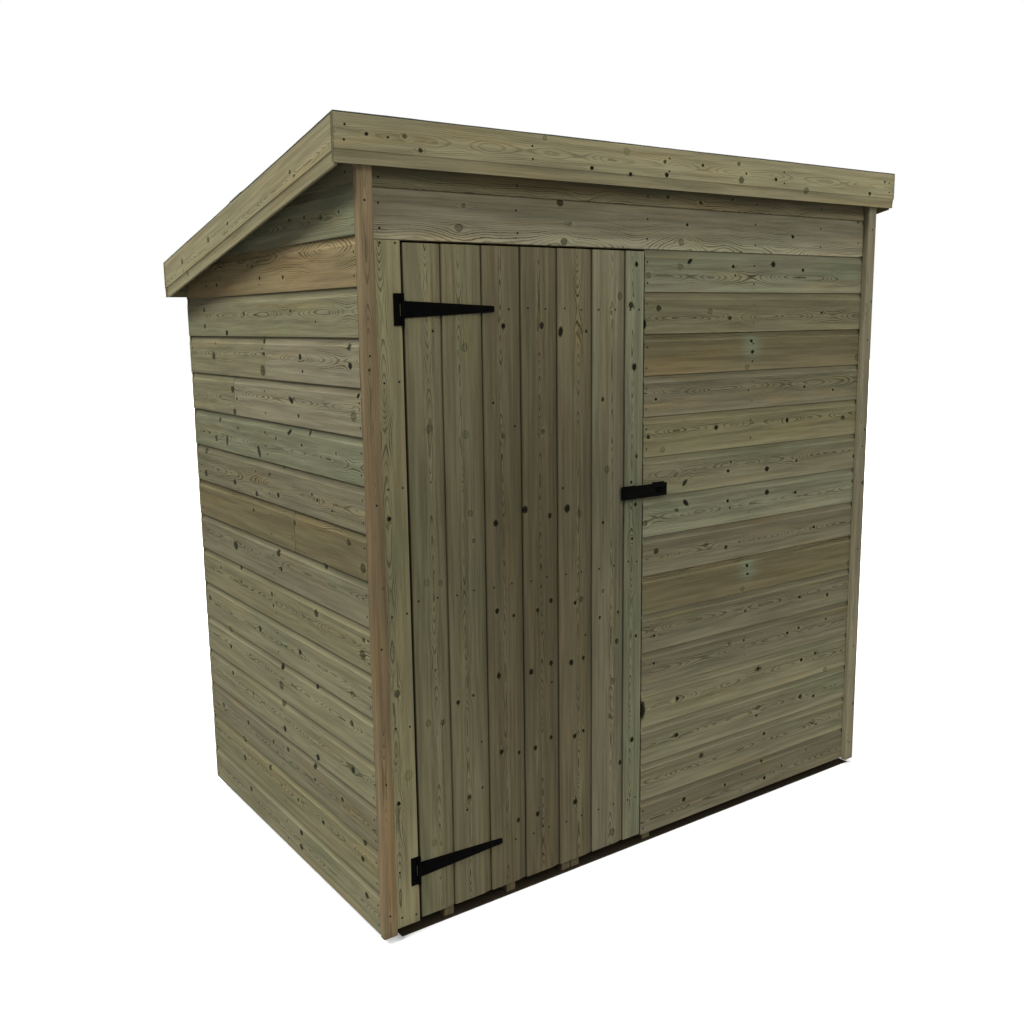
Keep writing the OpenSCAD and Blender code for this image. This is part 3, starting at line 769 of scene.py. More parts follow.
def board_wall(name, corner, turn, length, rows, material, nodes, knots=(), tones=(), joints=(), painted_light_across=None,
               cuts=None, painted_shade_and_end_grain=None):
    """Lays a wall from `corner`, running along its own x; rows are heights of the board lines in mm.
    A second board in a row takes its tone from joints, which list (row, place, tone)."""
    boards = []
    angle = math.radians(turn)
    along = (math.cos(angle), math.sin(angle), 0)
    for row, (low, high) in enumerate(zip(rows, rows[1:])):
        ends = [0.0] + [x * MM for r, x, _ in joints if r == row] + [length]
        own_tones = [tones[row] if row < len(tones) else chance.choice(HIDDEN_TONES)]
        own_tones += [tone for r, _, tone in joints if r == row]
        for x0, x1, tone in zip(ends, ends[1:], own_tones):
            gap = JOINT_GAP if len(ends) > 2 else 0
            board = board_for_row(f"{name}_{row}", x0, x1, low, high, gap)
            place(board, corner, (0, 0, turn))
            mesh = board.data
            lowest = min(v.co.z - under_deck(v.co.y) for v in mesh.vertices)
            highest = max(v.co.z - under_deck(v.co.y) for v in mesh.vertices)
            if lowest > -SLIVER:
                # the roof leaves nothing of this row
                bpy.data.objects.remove(board)
                continue
            if highest > 0:
                cut_under_roof(board)
            own = [k for k in knots if low - OVERLAP <= k[1] <= high + OVERLAP]
            if not knots:
                own = [(k[0], k[1] + low, k[2], k[3]) for k in wild_knots(length, COVER)]
            shadow = painted_shade_and_end_grain
            if gap:
                shadow = ((x0 / MM, 0.4), (x0 / MM + 1.5, 0.95), (x1 / MM - 1.5, 0.95), (x1 / MM, 0.4))
            mark(board, tone, own, corner, along, (0, 0, 1), pith=(high - HALF_ROW) * MM, painted_light_across=painted_light_across,
                 base=high * MM - COVER, painted_shade_and_end_grain=shadow, cut=(cuts or {}).get(row, (1.0, 0, 0)))
            boards.append(board)
    wall = gather(name, boards)
    wall.data.materials.clear()
    wall.data.materials.append(material)
    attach(wall, "shed")
    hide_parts(*nodes)
    print(name, "has", len(boards), "boards and", len(wall.data.polygons), "faces")


# %% Where the walls stand, and the light and shade painted across their boards
# painted light across a front board, from its lower edge up: a painted highlight low on the face, and
# painted shade in the hollow under the lip of the board above
FRONT_PAINTED_LIGHT = ((0, 1.2), (10, 1.17), (22, 1.06), (40, 0.97), (62, 0.93), (84, 0.99), (92, 0.97), (93, 0.85),
              (101, 0.9), (106, 0.95), (112, 1.1))
# painted light across a side or back board: painted shade on the eased lower edge and deep in the hollow
# under the lip above, with a painted highlight just above the lower edge
SIDE_PAINTED_LIGHT = ((0, 0.85), (2.3, 0.9), (8, 1.02), (20, 1.08), (40, 1.0), (60, 0.98), (84, 0.99), (97, 1.04),
             (101, 0.95), (106, 0.8), (112, 0.9))
FACE_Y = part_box("front_boards_right")[0][1]
DOORWAY_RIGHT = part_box("front_boards_right")[0][0]
INNER_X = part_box("front_boards_right")[1][0]
OUTER_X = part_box("right_boards")[1][0]
BACK_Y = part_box("back_boards")[1][1]
front_rows = [24] + [129 + COVER / MM * i for i in range(17)]
side_rows = [24] + [136 + COVER / MM * i for i in range(17)]
print("front board lines start", front_rows[:3], "mm up, side ones", side_rows[:3])

# %% [markdown]
# ## The front wall beside the door
# Its boards are the same few trees cut again and again, so tones and knots come back every six
# rows. The knots are listed as places on the wall: distance from the left corner, height above the
# ground, radius in millimetres, and how dark the knot is.

# %% Front boards right of the doorway
FRONT_KNOTS = [
    (1022, 1670, 9, 1, 35), (985, 1654, 8, 0.5), (1194, 1659, 5, 1), (1202, 1635, 3, 1), (1363, 1668, 8, 1),
    (1496, 1654, 5, 1), (1787, 1663, 6, 1), (1788, 1620, 5, 0.8), (868, 1630, 8, 0.6),
    (907, 1543, 8, 0.8), (1105, 1534, 8, 0.5), (1185, 1514, 6, 0.9), (1590, 1527, 4, 1),
    (1277, 1448, 5, 2), (1283, 1416, 6, 2), (1262, 1372, 8, 0.4), (1775, 1385, 11, 0.5),
    (900, 1297, 4, 1), (1520, 1303, 4, 1), (1658, 1287, 4, 1), (1270, 1304, 3, 0.8),
    (874, 1195, 6, 0.9), (1138, 1202, 6, 1), (1445, 1204, 6, 1), (1715, 1196, 7, 0.8), (928, 1155, 8, 0.4),
    (980, 1080, 9, 0.5, 30), (1015, 1054, 10, 0.9, 40), (1191, 1071, 5, 1), (1202, 1097, 3, 1),
    (1360, 1062, 8, 1),
    (1495, 1075, 4, 1), (1778, 1066, 6, 1), (1785, 1113, 6, 0.9),
    (1020, 995, 11, 1, -40), (985, 978, 8, 0.7, -15), (1192, 982, 5, 1), (1202, 960, 3, 1),
    (1363, 990, 8, 1),
    (1495, 975, 5, 1), (1782, 983, 7, 0.9), (1785, 940, 6, 0.8), (864, 955, 8, 0.5),
    (907, 869, 8, 0.8), (1105, 860, 8, 0.5), (1189, 842, 6, 0.9), (1590, 853, 5, 1),
    (1283, 772, 5, 2), (1286, 748, 6, 2), (1265, 702, 8, 0.4), (1780, 710, 11, 0.5),
    (903, 622, 4, 1), (1531, 632, 5, 1), (1670, 617, 5, 1), (1280, 630, 4, 0.9),
    (903, 540, 4, 1), (1213, 538, 6, 0.4), (1277, 537, 4, 0.8), (1479, 523, 5, 1), (1533, 530, 5, 0.9),
    (1668, 536, 4, 0.9),
    (998, 412, 6, 1), (1346, 431, 6, 1), (1552, 419, 6, 1), (1619, 429, 5, 0.9), (1674, 360, 8, 0.5),
    (855, 408, 24, 1, 90), (855, 1500, 11, 1, 90),
    (997, 300, 6, 1), (1344, 280, 5, 1), (1551, 294, 6, 1), (1619, 281, 5, 1), (1350, 303, 8, 0.4),
    (1102, 208, 8, 0.8), (1382, 208, 5, 1), (1622, 190, 9, 0.5),
    (1032, 85, 6, 1), (1209, 83, 4, 1), (1377, 116, 5, 0.8), (1391, 56, 6, 1), (1472, 76, 3, 1),
    (1593, 100, 4, 0.6),
]
FRONT_TONES = ["grey", "light", "light", "pale", "grey", "grey", "brown", "grey", "leaf",
               "light", "yellow", "grey", "brown", "olive", "leaf"]
wall_offset = OUTER_X + DOORWAY_RIGHT
beside_knots = [(x - wall_offset / MM, *rest) for x, *rest in FRONT_KNOTS]
FRONT_CUTS = {6: (0.9, 6, 72), 7: (1.3, 0, 0), 12: (0.9, 6, 72)}
board_wall(
    "front_wall_boards", (DOORWAY_RIGHT, FACE_Y, 0), 0, INNER_X - DOORWAY_RIGHT, front_rows[:16],
    SHIPLAP, ["front_boards_right"], beside_knots, FRONT_TONES, painted_light_across=FRONT_PAINTED_LIGHT, cuts=FRONT_CUTS)

# %% Boards over the door
HEAD_KNOTS = [
    (285, 1780, 5, 0.5), (270, 1730, 9, 0.6), (573, 1803, 9, 0.8), (601, 1751, 6, 0.4), (582, 1708, 9, 0.7),
    (937, 1835, 4, 0.8), (1060, 1828, 4, 1), (1185, 1842, 3, 1), (1010, 1767, 4, 1), (987, 1720, 9, 0.6),
    (1445, 1750, 5, 1), (1755, 1805, 5, 0.7), (1755, 1740, 4, 0.5),
]
# painted shade: these boards are painted paler low down and darker towards the roof's edge, whose shade
# falls on them
HEAD_PAINTED_SHADE = [(up, level * (1.12 - 0.0022 * up)) for up, level in FRONT_PAINTED_LIGHT]
head_offset = OUTER_X / MM - INNER_X / MM
head_knots = [(x - head_offset, *rest) for x, *rest in HEAD_KNOTS]
# the two rows under the fascia take the darker drab tone, painted shade under the roof's edge
board_wall(
    "over_door_boards", (-INNER_X, FACE_Y, 0), 0, 2 * INNER_X, front_rows[15:], SHIPLAP,
    ["front_boards_head"], head_knots, ["head", "drab", "drab"], painted_light_across=HEAD_PAINTED_SHADE,
    cuts={0: (0.9, 34, -58), 1: (0.9, 20, -80)})

# %% [markdown]
# ## The side walls and the back
# The left wall is laid from the back corner to the front. Three of its rows are made of two boards
# that meet on a stud. The right wall and the back can't be seen in the photograph, so chance
# places their knots.

# %% Left, right and back boards
LEFT_KNOTS = [
    (803, 1764, 5, 0.9), (890, 1764, 5, 0.8), (983, 1757, 5, 0.7), (1075, 1760, 4, 0.8),
    (1113, 1842, 4, 0.8),
    (270, 1627, 6, 1), (183, 1628, 4, 1), (513, 1670, 3, 1), (545, 1666, 4, 1), (594, 1634, 5, 1),
    (746, 1630, 5, 1),
    (152, 1558, 7, 0.9), (150, 1510, 7, 0.9), (331, 1491, 8, 1), (469, 1543, 5, 1), (783, 1545, 4, 0.9),
    (928, 1518, 3, 1),
    (228, 1459, 5, 0.9), (211, 1423, 11, 0.8), (597, 1470, 7, 0.9), (597, 1436, 6, 1), (583, 1392, 14, 0.7),
    (829, 1433, 7, 1), (840, 1397, 4, 1), (1101, 1460, 8, 0.8), (1103, 1418, 8, 1),
    (350, 1331, 10, 0.9), (380, 1306, 5, 1), (357, 1267, 9, 0.9), (761, 1322, 12, 1, -20),
    (802, 1284, 5, 0.9),
    (1134, 1351, 6, 1), (1110, 1303, 11, 0.6),
    (230, 1235, 7, 0.8), (190, 1177, 9, 0.8), (281, 1177, 14, 0.8, 80), (374, 1220, 5, 0.7),
    (525, 1168, 15, 0.9, -60),
    (573, 1224, 4, 0.9), (648, 1214, 4, 1), (738, 1238, 10, 1, 30), (862, 1246, 8, 0.9, 50),
    (813, 1211, 4, 1), (1010, 1208, 5, 0.6),
    (90, 1129, 9, 0.7), (78, 1058, 10, 0.9), (325, 1059, 9, 0.9), (490, 1045, 8, 0.9),
    (492, 1110, 3, 1), (594, 1112, 4, 1),
    (645, 1061, 7, 1), (688, 1142, 5, 0.8), (862, 1091, 4, 1), (892, 1080, 5, 1), (975, 1064, 4, 1),
    (460, 995, 5, 0.9), (745, 1000, 7, 0.7), (726, 958, 7, 0.4), (1057, 1000, 8, 0.7), (1128, 950, 11, 0.7),
    (302, 865, 13, 1), (625, 898, 10, 0.9), (641, 856, 6, 1), (920, 916, 8, 0.9),
    (328, 803, 8, 0.9), (160, 772, 6, 0.7), (330, 760, 5, 0.8), (563, 770, 7, 0.8), (570, 738, 5, 0.9),
    (855, 780, 10, 0.8), (1120, 773, 5, 0.8), (1110, 735, 12, 0.7),
    (40, 649, 8, 0.9), (460, 645, 9, 0.9), (738, 646, 7, 1), (1047, 618, 9, 0.4),
    (210, 584, 9, 0.7), (209, 529, 7, 1), (610, 571, 9, 1), (598, 513, 12, 0.7), (835, 578, 8, 1),
    (1036, 540, 8, 0.8), (370, 543, 4, 0.9),
    (212, 443, 7, 0.9), (603, 464, 12, 0.7), (377, 422, 4, 0.9), (607, 387, 9, 1), (824, 377, 9, 1),
    (1033, 416, 8, 1),
    (537, 358, 6, 0.9), (516, 318, 5, 1), (107, 307, 8, 0.8), (320, 315, 7, 0.9), (622, 330, 7, 0.9),
    (801, 343, 8, 0.9),
    (797, 307, 6, 1), (963, 311, 6, 0.9),
    (276, 246, 9, 0.9), (480, 225, 8, 0.9), (273, 184, 9, 0.8), (676, 199, 5, 1), (839, 197, 6, 1),
    (1067, 192, 7, 1), (1077, 240, 8, 0.8),
    (311, 95, 8, 0.9), (687, 105, 8, 1), (682, 60, 9, 0.8), (1081, 100, 8, 0.9),
]
LEFT_TONES = ["light", "olive", "grey", "light", "light", "light", "olive", "grey", "brown", "grey",
              "green", "pale", "pale", "light", "warm", "leaf", "grey", "grey"]
side_length = BACK_Y - BOARD_T - FACE_Y
LEFT_JOINTS = [(12, 591, "head"), (11, 350, "head"), (8, 730, "brown")]
LEFT_CUTS = {8: (0.9, 6, 75), 9: (0.9, 10, 0), 14: (0.8, 14, 30)}
left_knots = [(x - BOARD_T / MM, *rest) for x, *rest in LEFT_KNOTS]
# the left wall's boards are painted a little darker towards the back corner and lighter towards the front
board_wall(
    "left_wall_boards", (-OUTER_X, BACK_Y - BOARD_T, 0), -90, side_length, side_rows, SHIPLAP,
    ["left_boards"], left_knots, LEFT_TONES, joints=LEFT_JOINTS, painted_light_across=SIDE_PAINTED_LIGHT, cuts=LEFT_CUTS,
    painted_shade_and_end_grain=((0, 0.95), (500, 1.0), (1150, 1.07)))
board_wall(
    "right_wall_boards", (OUTER_X, FACE_Y, 0), 90, side_length, side_rows, SHIPLAP, ["right_boards"],
    painted_light_across=SIDE_PAINTED_LIGHT)
board_wall(
    "back_wall_boards", (OUTER_X, BACK_Y, 0), 180, 2 * OUTER_X, side_rows, SHIPLAP, ["back_boards"],
    painted_light_across=SIDE_PAINTED_LIGHT)

# %% [markdown]
# ## The door boards
# Seven upright boards, moulded like the wall's but with a wider hollow and a thicker lip. Each hangs
# from the top line of the door, hollow edge to the right. The first has a plain left edge and the
# last a plain right edge. Their lower ends are a little uneven, as they are on the real door.

# %% Mould and hang the door boards
DOOR_LOW, DOOR_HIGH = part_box("door_board_1")
DOOR_TOP = DOOR_HIGH[2]
DOOR_BASE = DOOR_LOW[2]
DOOR_GAP = 0.8 * MM
DOOR_LIP_T = 8 * MM
DOOR_KNOTS = [
    (193, 1493, 3, 1), (175, 1265, 9, 0.35), (158, 895, 8, 0.3), (197, 888, 7, 0.4), (152, 540, 8, 0.4),
    (193, 532, 7, 0.5), (160, 220, 8, 0.3),
    (280, 1453, 9, 0.35), (277, 1245, 9, 0.35), (287, 1050, 7, 0.5), (295, 980, 5, 0.6),
    (239, 574, 5, 1), (285, 582, 4, 0.8),
    (308, 452, 2.5, 1), (267, 312, 5, 0.8), (260, 280, 3, 1), (308, 327, 3, 1),
    (393, 1502, 6, 1), (360, 1317, 3, 0.9), (425, 1255, 3, 1), (388, 1232, 5, 0.5), (362, 1016, 7, 1),
    (362, 789, 6, 1),
    (413, 768, 4, 1), (364, 617, 6, 1), (369, 409, 6, 1), (426, 392, 5, 1), (420, 203, 6, 0.9),
    (510, 1502, 7, 0.9), (512, 1235, 6, 0.6), (453, 1040, 8, 1), (532, 1015, 6, 1), (490, 769, 5, 1),
    (534, 788, 6, 1),
    (467, 606, 7, 1), (533, 617, 6, 1), (535, 563, 3, 1), (478, 392, 6, 1), (531, 408, 5, 1),
    (484, 202, 6, 1),
    (570, 1486, 11, 1, -8), (632, 1485, 8, 0.4), (655, 1485, 4, 1), (575, 1083, 3, 1),
    (589, 1028, 9, 1), (630, 1010, 8, 0.4),
    (615, 768, 5, 1), (636, 774, 7, 0.6), (601, 604, 7, 1), (643, 609, 5, 1), (612, 392, 6, 1),
    (642, 400, 4, 1), (613, 199, 7, 1), (651, 672, 3, 1),
    (770, 1575, 9, 0.5), (738, 1532, 5, 0.6), (710, 1307, 5, 0.9), (725, 1118, 8, 0.5),
    (712, 975, 4, 1), (712, 785, 5, 0.6),
    (768, 715, 4, 1), (701, 712, 4, 1), (763, 633, 7, 0.8), (748, 520, 9, 0.5), (738, 420, 7, 0.5),
    (779, 270, 6, 1), (748, 68, 9, 0.6),
    (826, 1658, 6, 1), (807, 1551, 8, 0.9), (820, 1388, 8, 1), (830, 1145, 4, 1), (812, 1075, 4, 1),
    (828, 1012, 5, 1),
    (817, 917, 4, 1), (833, 635, 4, 1), (821, 329, 7, 1),
]
DOOR_TONES = ["olive", "olive", "drab", "drab", "drab", "grey", "green"]
DOOR_SHADE = [0.97, 0.84, 0.96, 0.9, 1.03, 0.98, 0.94]
# painted shadow: a soft dark band across the door's middle height, and painted light towards its top
DOOR_PAINTED_SHADOW = ((0, 1.02), (350, 1.02), (640, 0.9), (900, 0.84), (1080, 0.84), (1300, 0.97), (1500, 1.12),
             (1690, 1.25))
door_boards = []
for index in range(7):
    low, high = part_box(f"door_board_{index + 1}")
    left = low[0]
    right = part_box(f"door_board_{index + 2}")[0][0] if index < 6 else high[0]
    tall = DOOR_TOP - DOOR_BASE
    board = moulded_board(
        f"door_board_piece_{index + 1}", tall, right - left - 2 * DOOR_GAP,
        lip_t=DOOR_LIP_T if index else 0, tongue_h=TONGUE_H if index < 6 else 0,
        hollow=DOOR_HOLLOW if index < 6 else ())
    uneven = chance.uniform(0, 1.6) * MM
    saw(board, (tall - uneven, 0, 0), (1, 0, 0), drop=True)
    place(board, (left + DOOR_GAP, FACE_Y + chance.uniform(0, 0.3) * MM, DOOR_TOP), (0, 90, 0))
    nearby = (left / MM - 2, right / MM + 2)
    own = [(z, -x, *rest) for x, z, *rest in DOOR_KNOTS if nearby[0] <= x - OUTER_X / MM <= nearby[1]]
    wide = (right - left) / MM
    # painted light across each door board: painted shade deepening into the hollow and the joint at its
    # right edge, a painted highlight on the hollow's edge and along its left edge, and painted shade in the
    # gap beyond that; the last board's plain right edge gets a painted highlight
    painted_free_edge = ((wide - 24, 1.0), (wide - 16, 1.05), (wide - 5, 1.1), (wide - 2.5, 0.72), (wide - 1, 0.3))
    edges = ((0, 0.5), (3, 0.84), (9, 0.94), (17, 0.97), (25, 0.93), (28, 1.04), (36, 1.0), *painted_free_edge)
    if index == 6:
        edges = ((0, 1.3), (3, 1.2), (6, 1.0), *painted_free_edge)
    mark(board, DOOR_TONES[index], own, (-OUTER_X, FACE_Y, 0), (0, 0, 1), (-1, 0, 0),
         pith=-((left + right) / 2 + OUTER_X), shade=DOOR_SHADE[index], painted_light_across=edges,
         base=-right - OUTER_X, painted_shade_and_end_grain=DOOR_PAINTED_SHADOW, cut=(1.25, 0, 0))
    board.data.materials.append(DOOR_WOOD)
    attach(board, "door")
    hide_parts(f"door_board_{index + 1}")
    door_boards.append(board)
print("door of", len(door_boards), "boards,", round(tall, 3), "m tall")

# %% [markdown]
# ## Trims, post board and fascias
# The corner trims are planed sticks with their edges eased, the left one of redder wood. The fascias
# are moulded boards hung upside down, hollow edge lowest; the side ones tilt with the roof and are
# cut upright at both ends, behind the front and back ones.

# %% Corner trims and the board at the hinges
def planed_stick(name, low, high, tone, knots, material, painted_shade_and_end_grain):
    """An upright stick with eased edges, cross cuts for its knots and the marks of its wood, with painted
    shade along it.
    """
    piece = stick(name, low, high)
    round_edges(piece, 1.5 * MM)
    for count in range(1, int((high[2] - low[2]) / CELL)):
        saw(piece, (0, 0, low[2] + count * CELL), (0, 0, 1))
    mark(piece, tone, knots, (-OUTER_X, FACE_Y, 0), (0, 0, 1), (-1, 0, 0),
         pith=-((low[0] + high[0]) / 2 + OUTER_X), painted_shade_and_end_grain=painted_shade_and_end_grain)
    piece.data.materials.append(material)
    return piece


TRIM_KNOTS = [
    (1410, -15, 3, 0.8), (905, -30, 4, 0.4), (1560, -1810, 4, 0.7), (1152, -1804, 4, 0.8),
    (977, -1806, 6, 0.9), (217, -1808, 5, 0.8),
]
# painted shadow: a faint dark band across the right trim at the height of the door's
RIGHT_TRIM_PAINTED_SHADOW = ((0, 1.05), (500, 1.05), (860, 0.9), (1100, 0.97), (1300, 1.0), (1800, 1.05))
# painted shadow: the door's dark band again on the hinge-side board and the left trim, lighter towards both
# ends
POST_PAINTED_SHADOW = ((0, 1.2), (350, 1.08), (640, 0.95), (900, 0.86), (1080, 0.86), (1300, 0.97), (1500, 1.1),
             (1800, 1.2))
OVERLONG = 1.97
for side, tone, painted_shade_and_end_grain in (("left", "red", POST_PAINTED_SHADOW), ("right", "dusty", RIGHT_TRIM_PAINTED_SHADOW)):
    low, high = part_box(f"corner_trim_{side}")
    trim = planed_stick(f"trim_{side}", low, (high[0], high[1], OVERLONG), tone, TRIM_KNOTS, TRIM_WOOD, painted_shade_and_end_grain)
    cut_under_roof(trim)
    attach(trim, "shed")
    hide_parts(f"corner_trim_{side}")
POST_KNOTS = [(1063, -62, 5, 1), (635, -68, 8, 0.7), (420, -92, 12, 0.25), (354, -62, 5, 1)]
low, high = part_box("door_post_board")
post = planed_stick("hinge_side_board", low, high, "post", POST_KNOTS, DOOR_WOOD, POST_PAINTED_SHADOW)
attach(post, "shed")
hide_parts("door_post_board")
print("trims and hinge-side board done; the board has", len(post.data.polygons), "faces")

# %% Fascias, hollow edge down
FASCIA_H = 102 * MM
END_AIR = 0.0003
ROOF_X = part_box("fascia_front")[1][0]
FASCIA_KNOTS = [
    (18, 1913, 4, 1), (70, 1910, 2.5, 1), (112, 1916, 5, 0.7), (151, 1889, 5, 0.9), (643, 1886, 5, 1),
    (497, 1945, 6, 0.4),
    (771, 1880, 5, 1), (757, 1935, 9, 0.3), (890, 1919, 5, 0.8), (897, 1886, 6, 1), (1029, 1920, 4, 1),
    (1168, 1934, 6, 0.7),
    (1198, 1910, 4, 0.9), (1180, 1891, 9, 0.7), (1322, 1902, 5, 1), (1456, 1879, 9, 0.6),
    (1753, 1887, 6, 0.9), (1825, 1926, 4, 0.8),
]


def hang_fascia(name, length, knots, place_it, levels=(1.0, 1.0)):
    """Moulds a fascia, turns its hollow down with its top at the origin, and lets place_it hang it."""
    board = moulded_board(name, length, FASCIA_H, lip_t=0, tongue_h=0, hollow=scooped(28, 5.0))
    for cut in (END_GRAIN, length - END_GRAIN):
        saw(board, (cut, 0, 0), (1, 0, 0))
    place(board, (length, 0, 0), (0, 180, 0))
    full = length / MM
    # the ends are grey end grain; levels paint the board darker towards one end and lighter towards the
    # other, partly its wood and partly painted shade
    grey_ends_and_painted_shade = ((0, 0.5), (1.4, 0.9), (3, levels[0]), (full - 3, levels[1]), (full - 1.4, 0.9), (full, 0.5))
    mark(board, "fresh", knots, (0, 0, -FASCIA_H), pith=FASCIA_H / 2 + 0.005, painted_shade_and_end_grain=grey_ends_and_painted_shade)
    place_it(board)
    board.data.materials.append(FASCIA_WOOD)
    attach(board, "shed")
    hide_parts(name.replace("_piece", ""))


low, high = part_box("fascia_front")
front_knots = [(x + 60, z - low[2] / MM, *rest) for x, z, *rest in FASCIA_KNOTS]
hang_fascia("fascia_front_piece", 2 * ROOF_X, front_knots,
            lambda b: place(b, (-ROOF_X, low[1], low[2] + FASCIA_H)), (0.9, 1.1))
back_low, back_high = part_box("fascia_back")
hang_fascia("fascia_back_piece", 2 * ROOF_X, wild_knots(2 * ROOF_X, FASCIA_H),
            lambda b: place(b, (ROOF_X, back_high[1], back_low[2] + FASCIA_H), (0, 0, 180)))
side_y0, side_y1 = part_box("fascia_left")[0][1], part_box("fascia_left")[1][1]
SPARE = 0.03
long_side = (side_y1 - side_y0) / math.cos(SLOPE) + 2 * SPARE
LEFT_FASCIA_KNOTS = [
    (190, 62, 8, 0.7), (190, 35, 5, 0.5), (425, 60, 8, 0.7), (580, 60, 5, 0.8), (215, 20, 7, 0.6),
    (1000, 55, 5, 0.8), (1020, 40, 4, 0.8),
]


def hang_side(sign):
    """Turns a fascia to its side, tilts it with the roof and cuts its ends upright."""
    def hang(board):
        top = DECK_TOP - (side_y0 - ROOF_EDGE_Y) * math.tan(SLOPE)
        start = long_side - SPARE if sign < 0 else -SPARE
        place(board, (0, start, 0), (0, 0, sign * 90))
        place(board, (0, 0, 0), (-math.degrees(SLOPE), 0, 0))
        place(board, (sign * ROOF_X, side_y0, top))
        saw(board, (0, side_y0 + END_AIR, 0), (0, -1, 0), drop=True)
        saw(board, (0, side_y1 - END_AIR, 0), (0, 1, 0), drop=True)
    return hang


hang_fascia("fascia_left_piece", long_side, LEFT_FASCIA_KNOTS, hang_side(-1))
hang_fascia("fascia_right_piece", long_side, wild_knots(long_side, FASCIA_H), hang_side(1))
bpy.data.objects.remove(wall_board)
print("four fascias hung, each", round(FASCIA_H / MM), "mm high")

# %% [markdown]
# ## Nails
# Every board is held by two nails at each stud, and the heads sit almost flush, a little dished.
# One head of ten corners is made, and the rest are copies. They show as the small dark dots that
# line up over the studs and the ledges.

# %% One nail head and its copies
bpy.ops.mesh.primitive_cylinder_add(
    vertices=10, radius=2.8 * MM, depth=0.8 * MM, location=(0, 0, 0), rotation=(math.pi / 2, 0, 0))
nail_pattern = settle(bpy.context.active_object)
pick(nail_pattern, lambda c, n: n.y < -0.9, "FACE")
bpy.ops.mesh.inset(thickness=0.7 * MM, depth=-0.25 * MM)
bpy.ops.object.mode_set(mode="OBJECT")


def nail_finish(name, light, dark, shine):
    """Tarnished zinc, cloudy between two tones."""
    material, tree, shader = new_material(name)
    spot = lay(tree, "TexCoord").outputs["Object"]
    tarnish = noise(tree, spot, 900.0, 2.0)
    tree.links.new(mix(tree, tarnish, light, dark), shader.inputs["Base Color"])
    tree.links.new(ease(tree, tarnish, 0.2, 0.8, 0.55, 0.8), shader.inputs["Roughness"])
    shader.inputs["Specular IOR Level"].default_value = shine
    return material


# the wall nails are near black: partly resin stain round their heads, partly painted shade of the dished
# holes they sit in
NAIL_STAIN_AND_PAINTED_SHADE = nail_finish("nail_heads", (0.010, 0.009, 0.006, 1), (0.003, 0.003, 0.002, 1), 0.1)
CLOUT = nail_finish("felt_nail_heads", (0.26, 0.27, 0.27, 1), (0.13, 0.14, 0.14, 1), 0.4)


def nail_on(name, body, spots, corner, turn, lean=0, size=1, material=NAIL_STAIN_AND_PAINTED_SHADE):
    """Drives nails at (along, up) places in mm on a wall whose own x starts at corner; a lean lays
    the wall back, in degrees."""
    heads = []
    for along, up in spots:
        nail = another(nail_pattern, "nail")
        struck_x = along + chance.uniform(-2, 2)
        struck_z = up + chance.uniform(-3, 3)
        nail.location = (struck_x * MM, 0.1 * MM, struck_z * MM)
        nail.scale = (size, 1, size)
        heads.append(nail)
    nails = gather(name, heads)
    settle(nails)
    place(nails, (0, 0, 0), (lean, 0, 0))
    place(nails, corner, (0, 0, turn))
    nails.data.materials.append(material)
    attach(nails, body)
    print(name, len(spots), "nails")


def rows_of_nails(columns, rows, top_of=None):
    """Two nails in each board at each column."""
    spots = []
    for low, high in zip(rows, rows[1:]):
        for x in columns:
            for up in (high - 87, high - 33):
                if up > low + 6 and (top_of is None or up < top_of(x)):
                    spots.append((x, up))
    return spots


def highest_nail(y, clear=0.09):
    """How high on a wall a nail may be at a depth y, in mm, to stay clear under the deck."""
    return (under_deck(y) - clear) / MM


HEAD_TOP_NAIL = 1846
beside = rows_of_nails([9, 426, 935], front_rows[:16])
nail_on("front_wall_nails", "shed", beside, (DOORWAY_RIGHT, FACE_Y, 0), 0)
over = rows_of_nails([48, 425, 850, 1271, 1560, 1775], front_rows[15:18], lambda x: HEAD_TOP_NAIL)
nail_on("over_door_nails", "shed", over, (-INNER_X, FACE_Y, 0), 0)
left_spots = rows_of_nails([12, 575, 1128], side_rows, lambda x: highest_nail(BACK_Y - BOARD_T - x * MM))
nail_on("left_wall_nails", "shed", left_spots, (-OUTER_X, BACK_Y - BOARD_T, 0), -90)
right_spots = rows_of_nails([12, 563, 1126], side_rows, lambda x: highest_nail(FACE_Y + x * MM))
nail_on("right_wall_nails", "shed", right_spots, (OUTER_X, FACE_Y, 0), 90)
back_spots = rows_of_nails([30, 614, 1202, 1786], side_rows, lambda x: highest_nail(BACK_Y, 0.1))
nail_on("back_wall_nails", "shed", back_spots, (OUTER_X, BACK_Y, 0), 180)
door_spots = []
for index in range(7):
    low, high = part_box(f"door_board_{index + 1}")
    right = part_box(f"door_board_{index + 2}")[0][0] if index < 6 else high[0]
    middle = ((low[0] + right) / 2 + OUTER_X) / MM - (6 if index < 6 else 0)
    spread = 27 if index < 6 else 16
    for z in (1542, 852, 152):
        door_spots += [(middle - spread, z), (middle + spread, z)]
nail_on("door_nails", "door", door_spots, (-OUTER_X, FACE_Y, 0), 0)
post_spots = [(x, z) for z in (1688, 1380, 1130, 829, 546, 173, 48) for x in (60, 101)]
nail_on("post_nails", "shed", post_spots, (-OUTER_X, FACE_Y, 0), 0)
trim_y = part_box("corner_trim_left")[0][1]
trim_spots = [(x, z) for z in (1780, 1440, 1100, 760, 420, 80) for x in (19, 1797)]
nail_on("trim_nails", "shed", trim_spots, (-OUTER_X, trim_y, 0), 0)
fascia_spots = [(x, z) for x in (26, 520, 968, 1416, 1910) for z in (1926, 1896)]
nail_on("fascia_nails", "shed", fascia_spots, (-ROOF_X, ROOF_EDGE_Y, 0), 0)
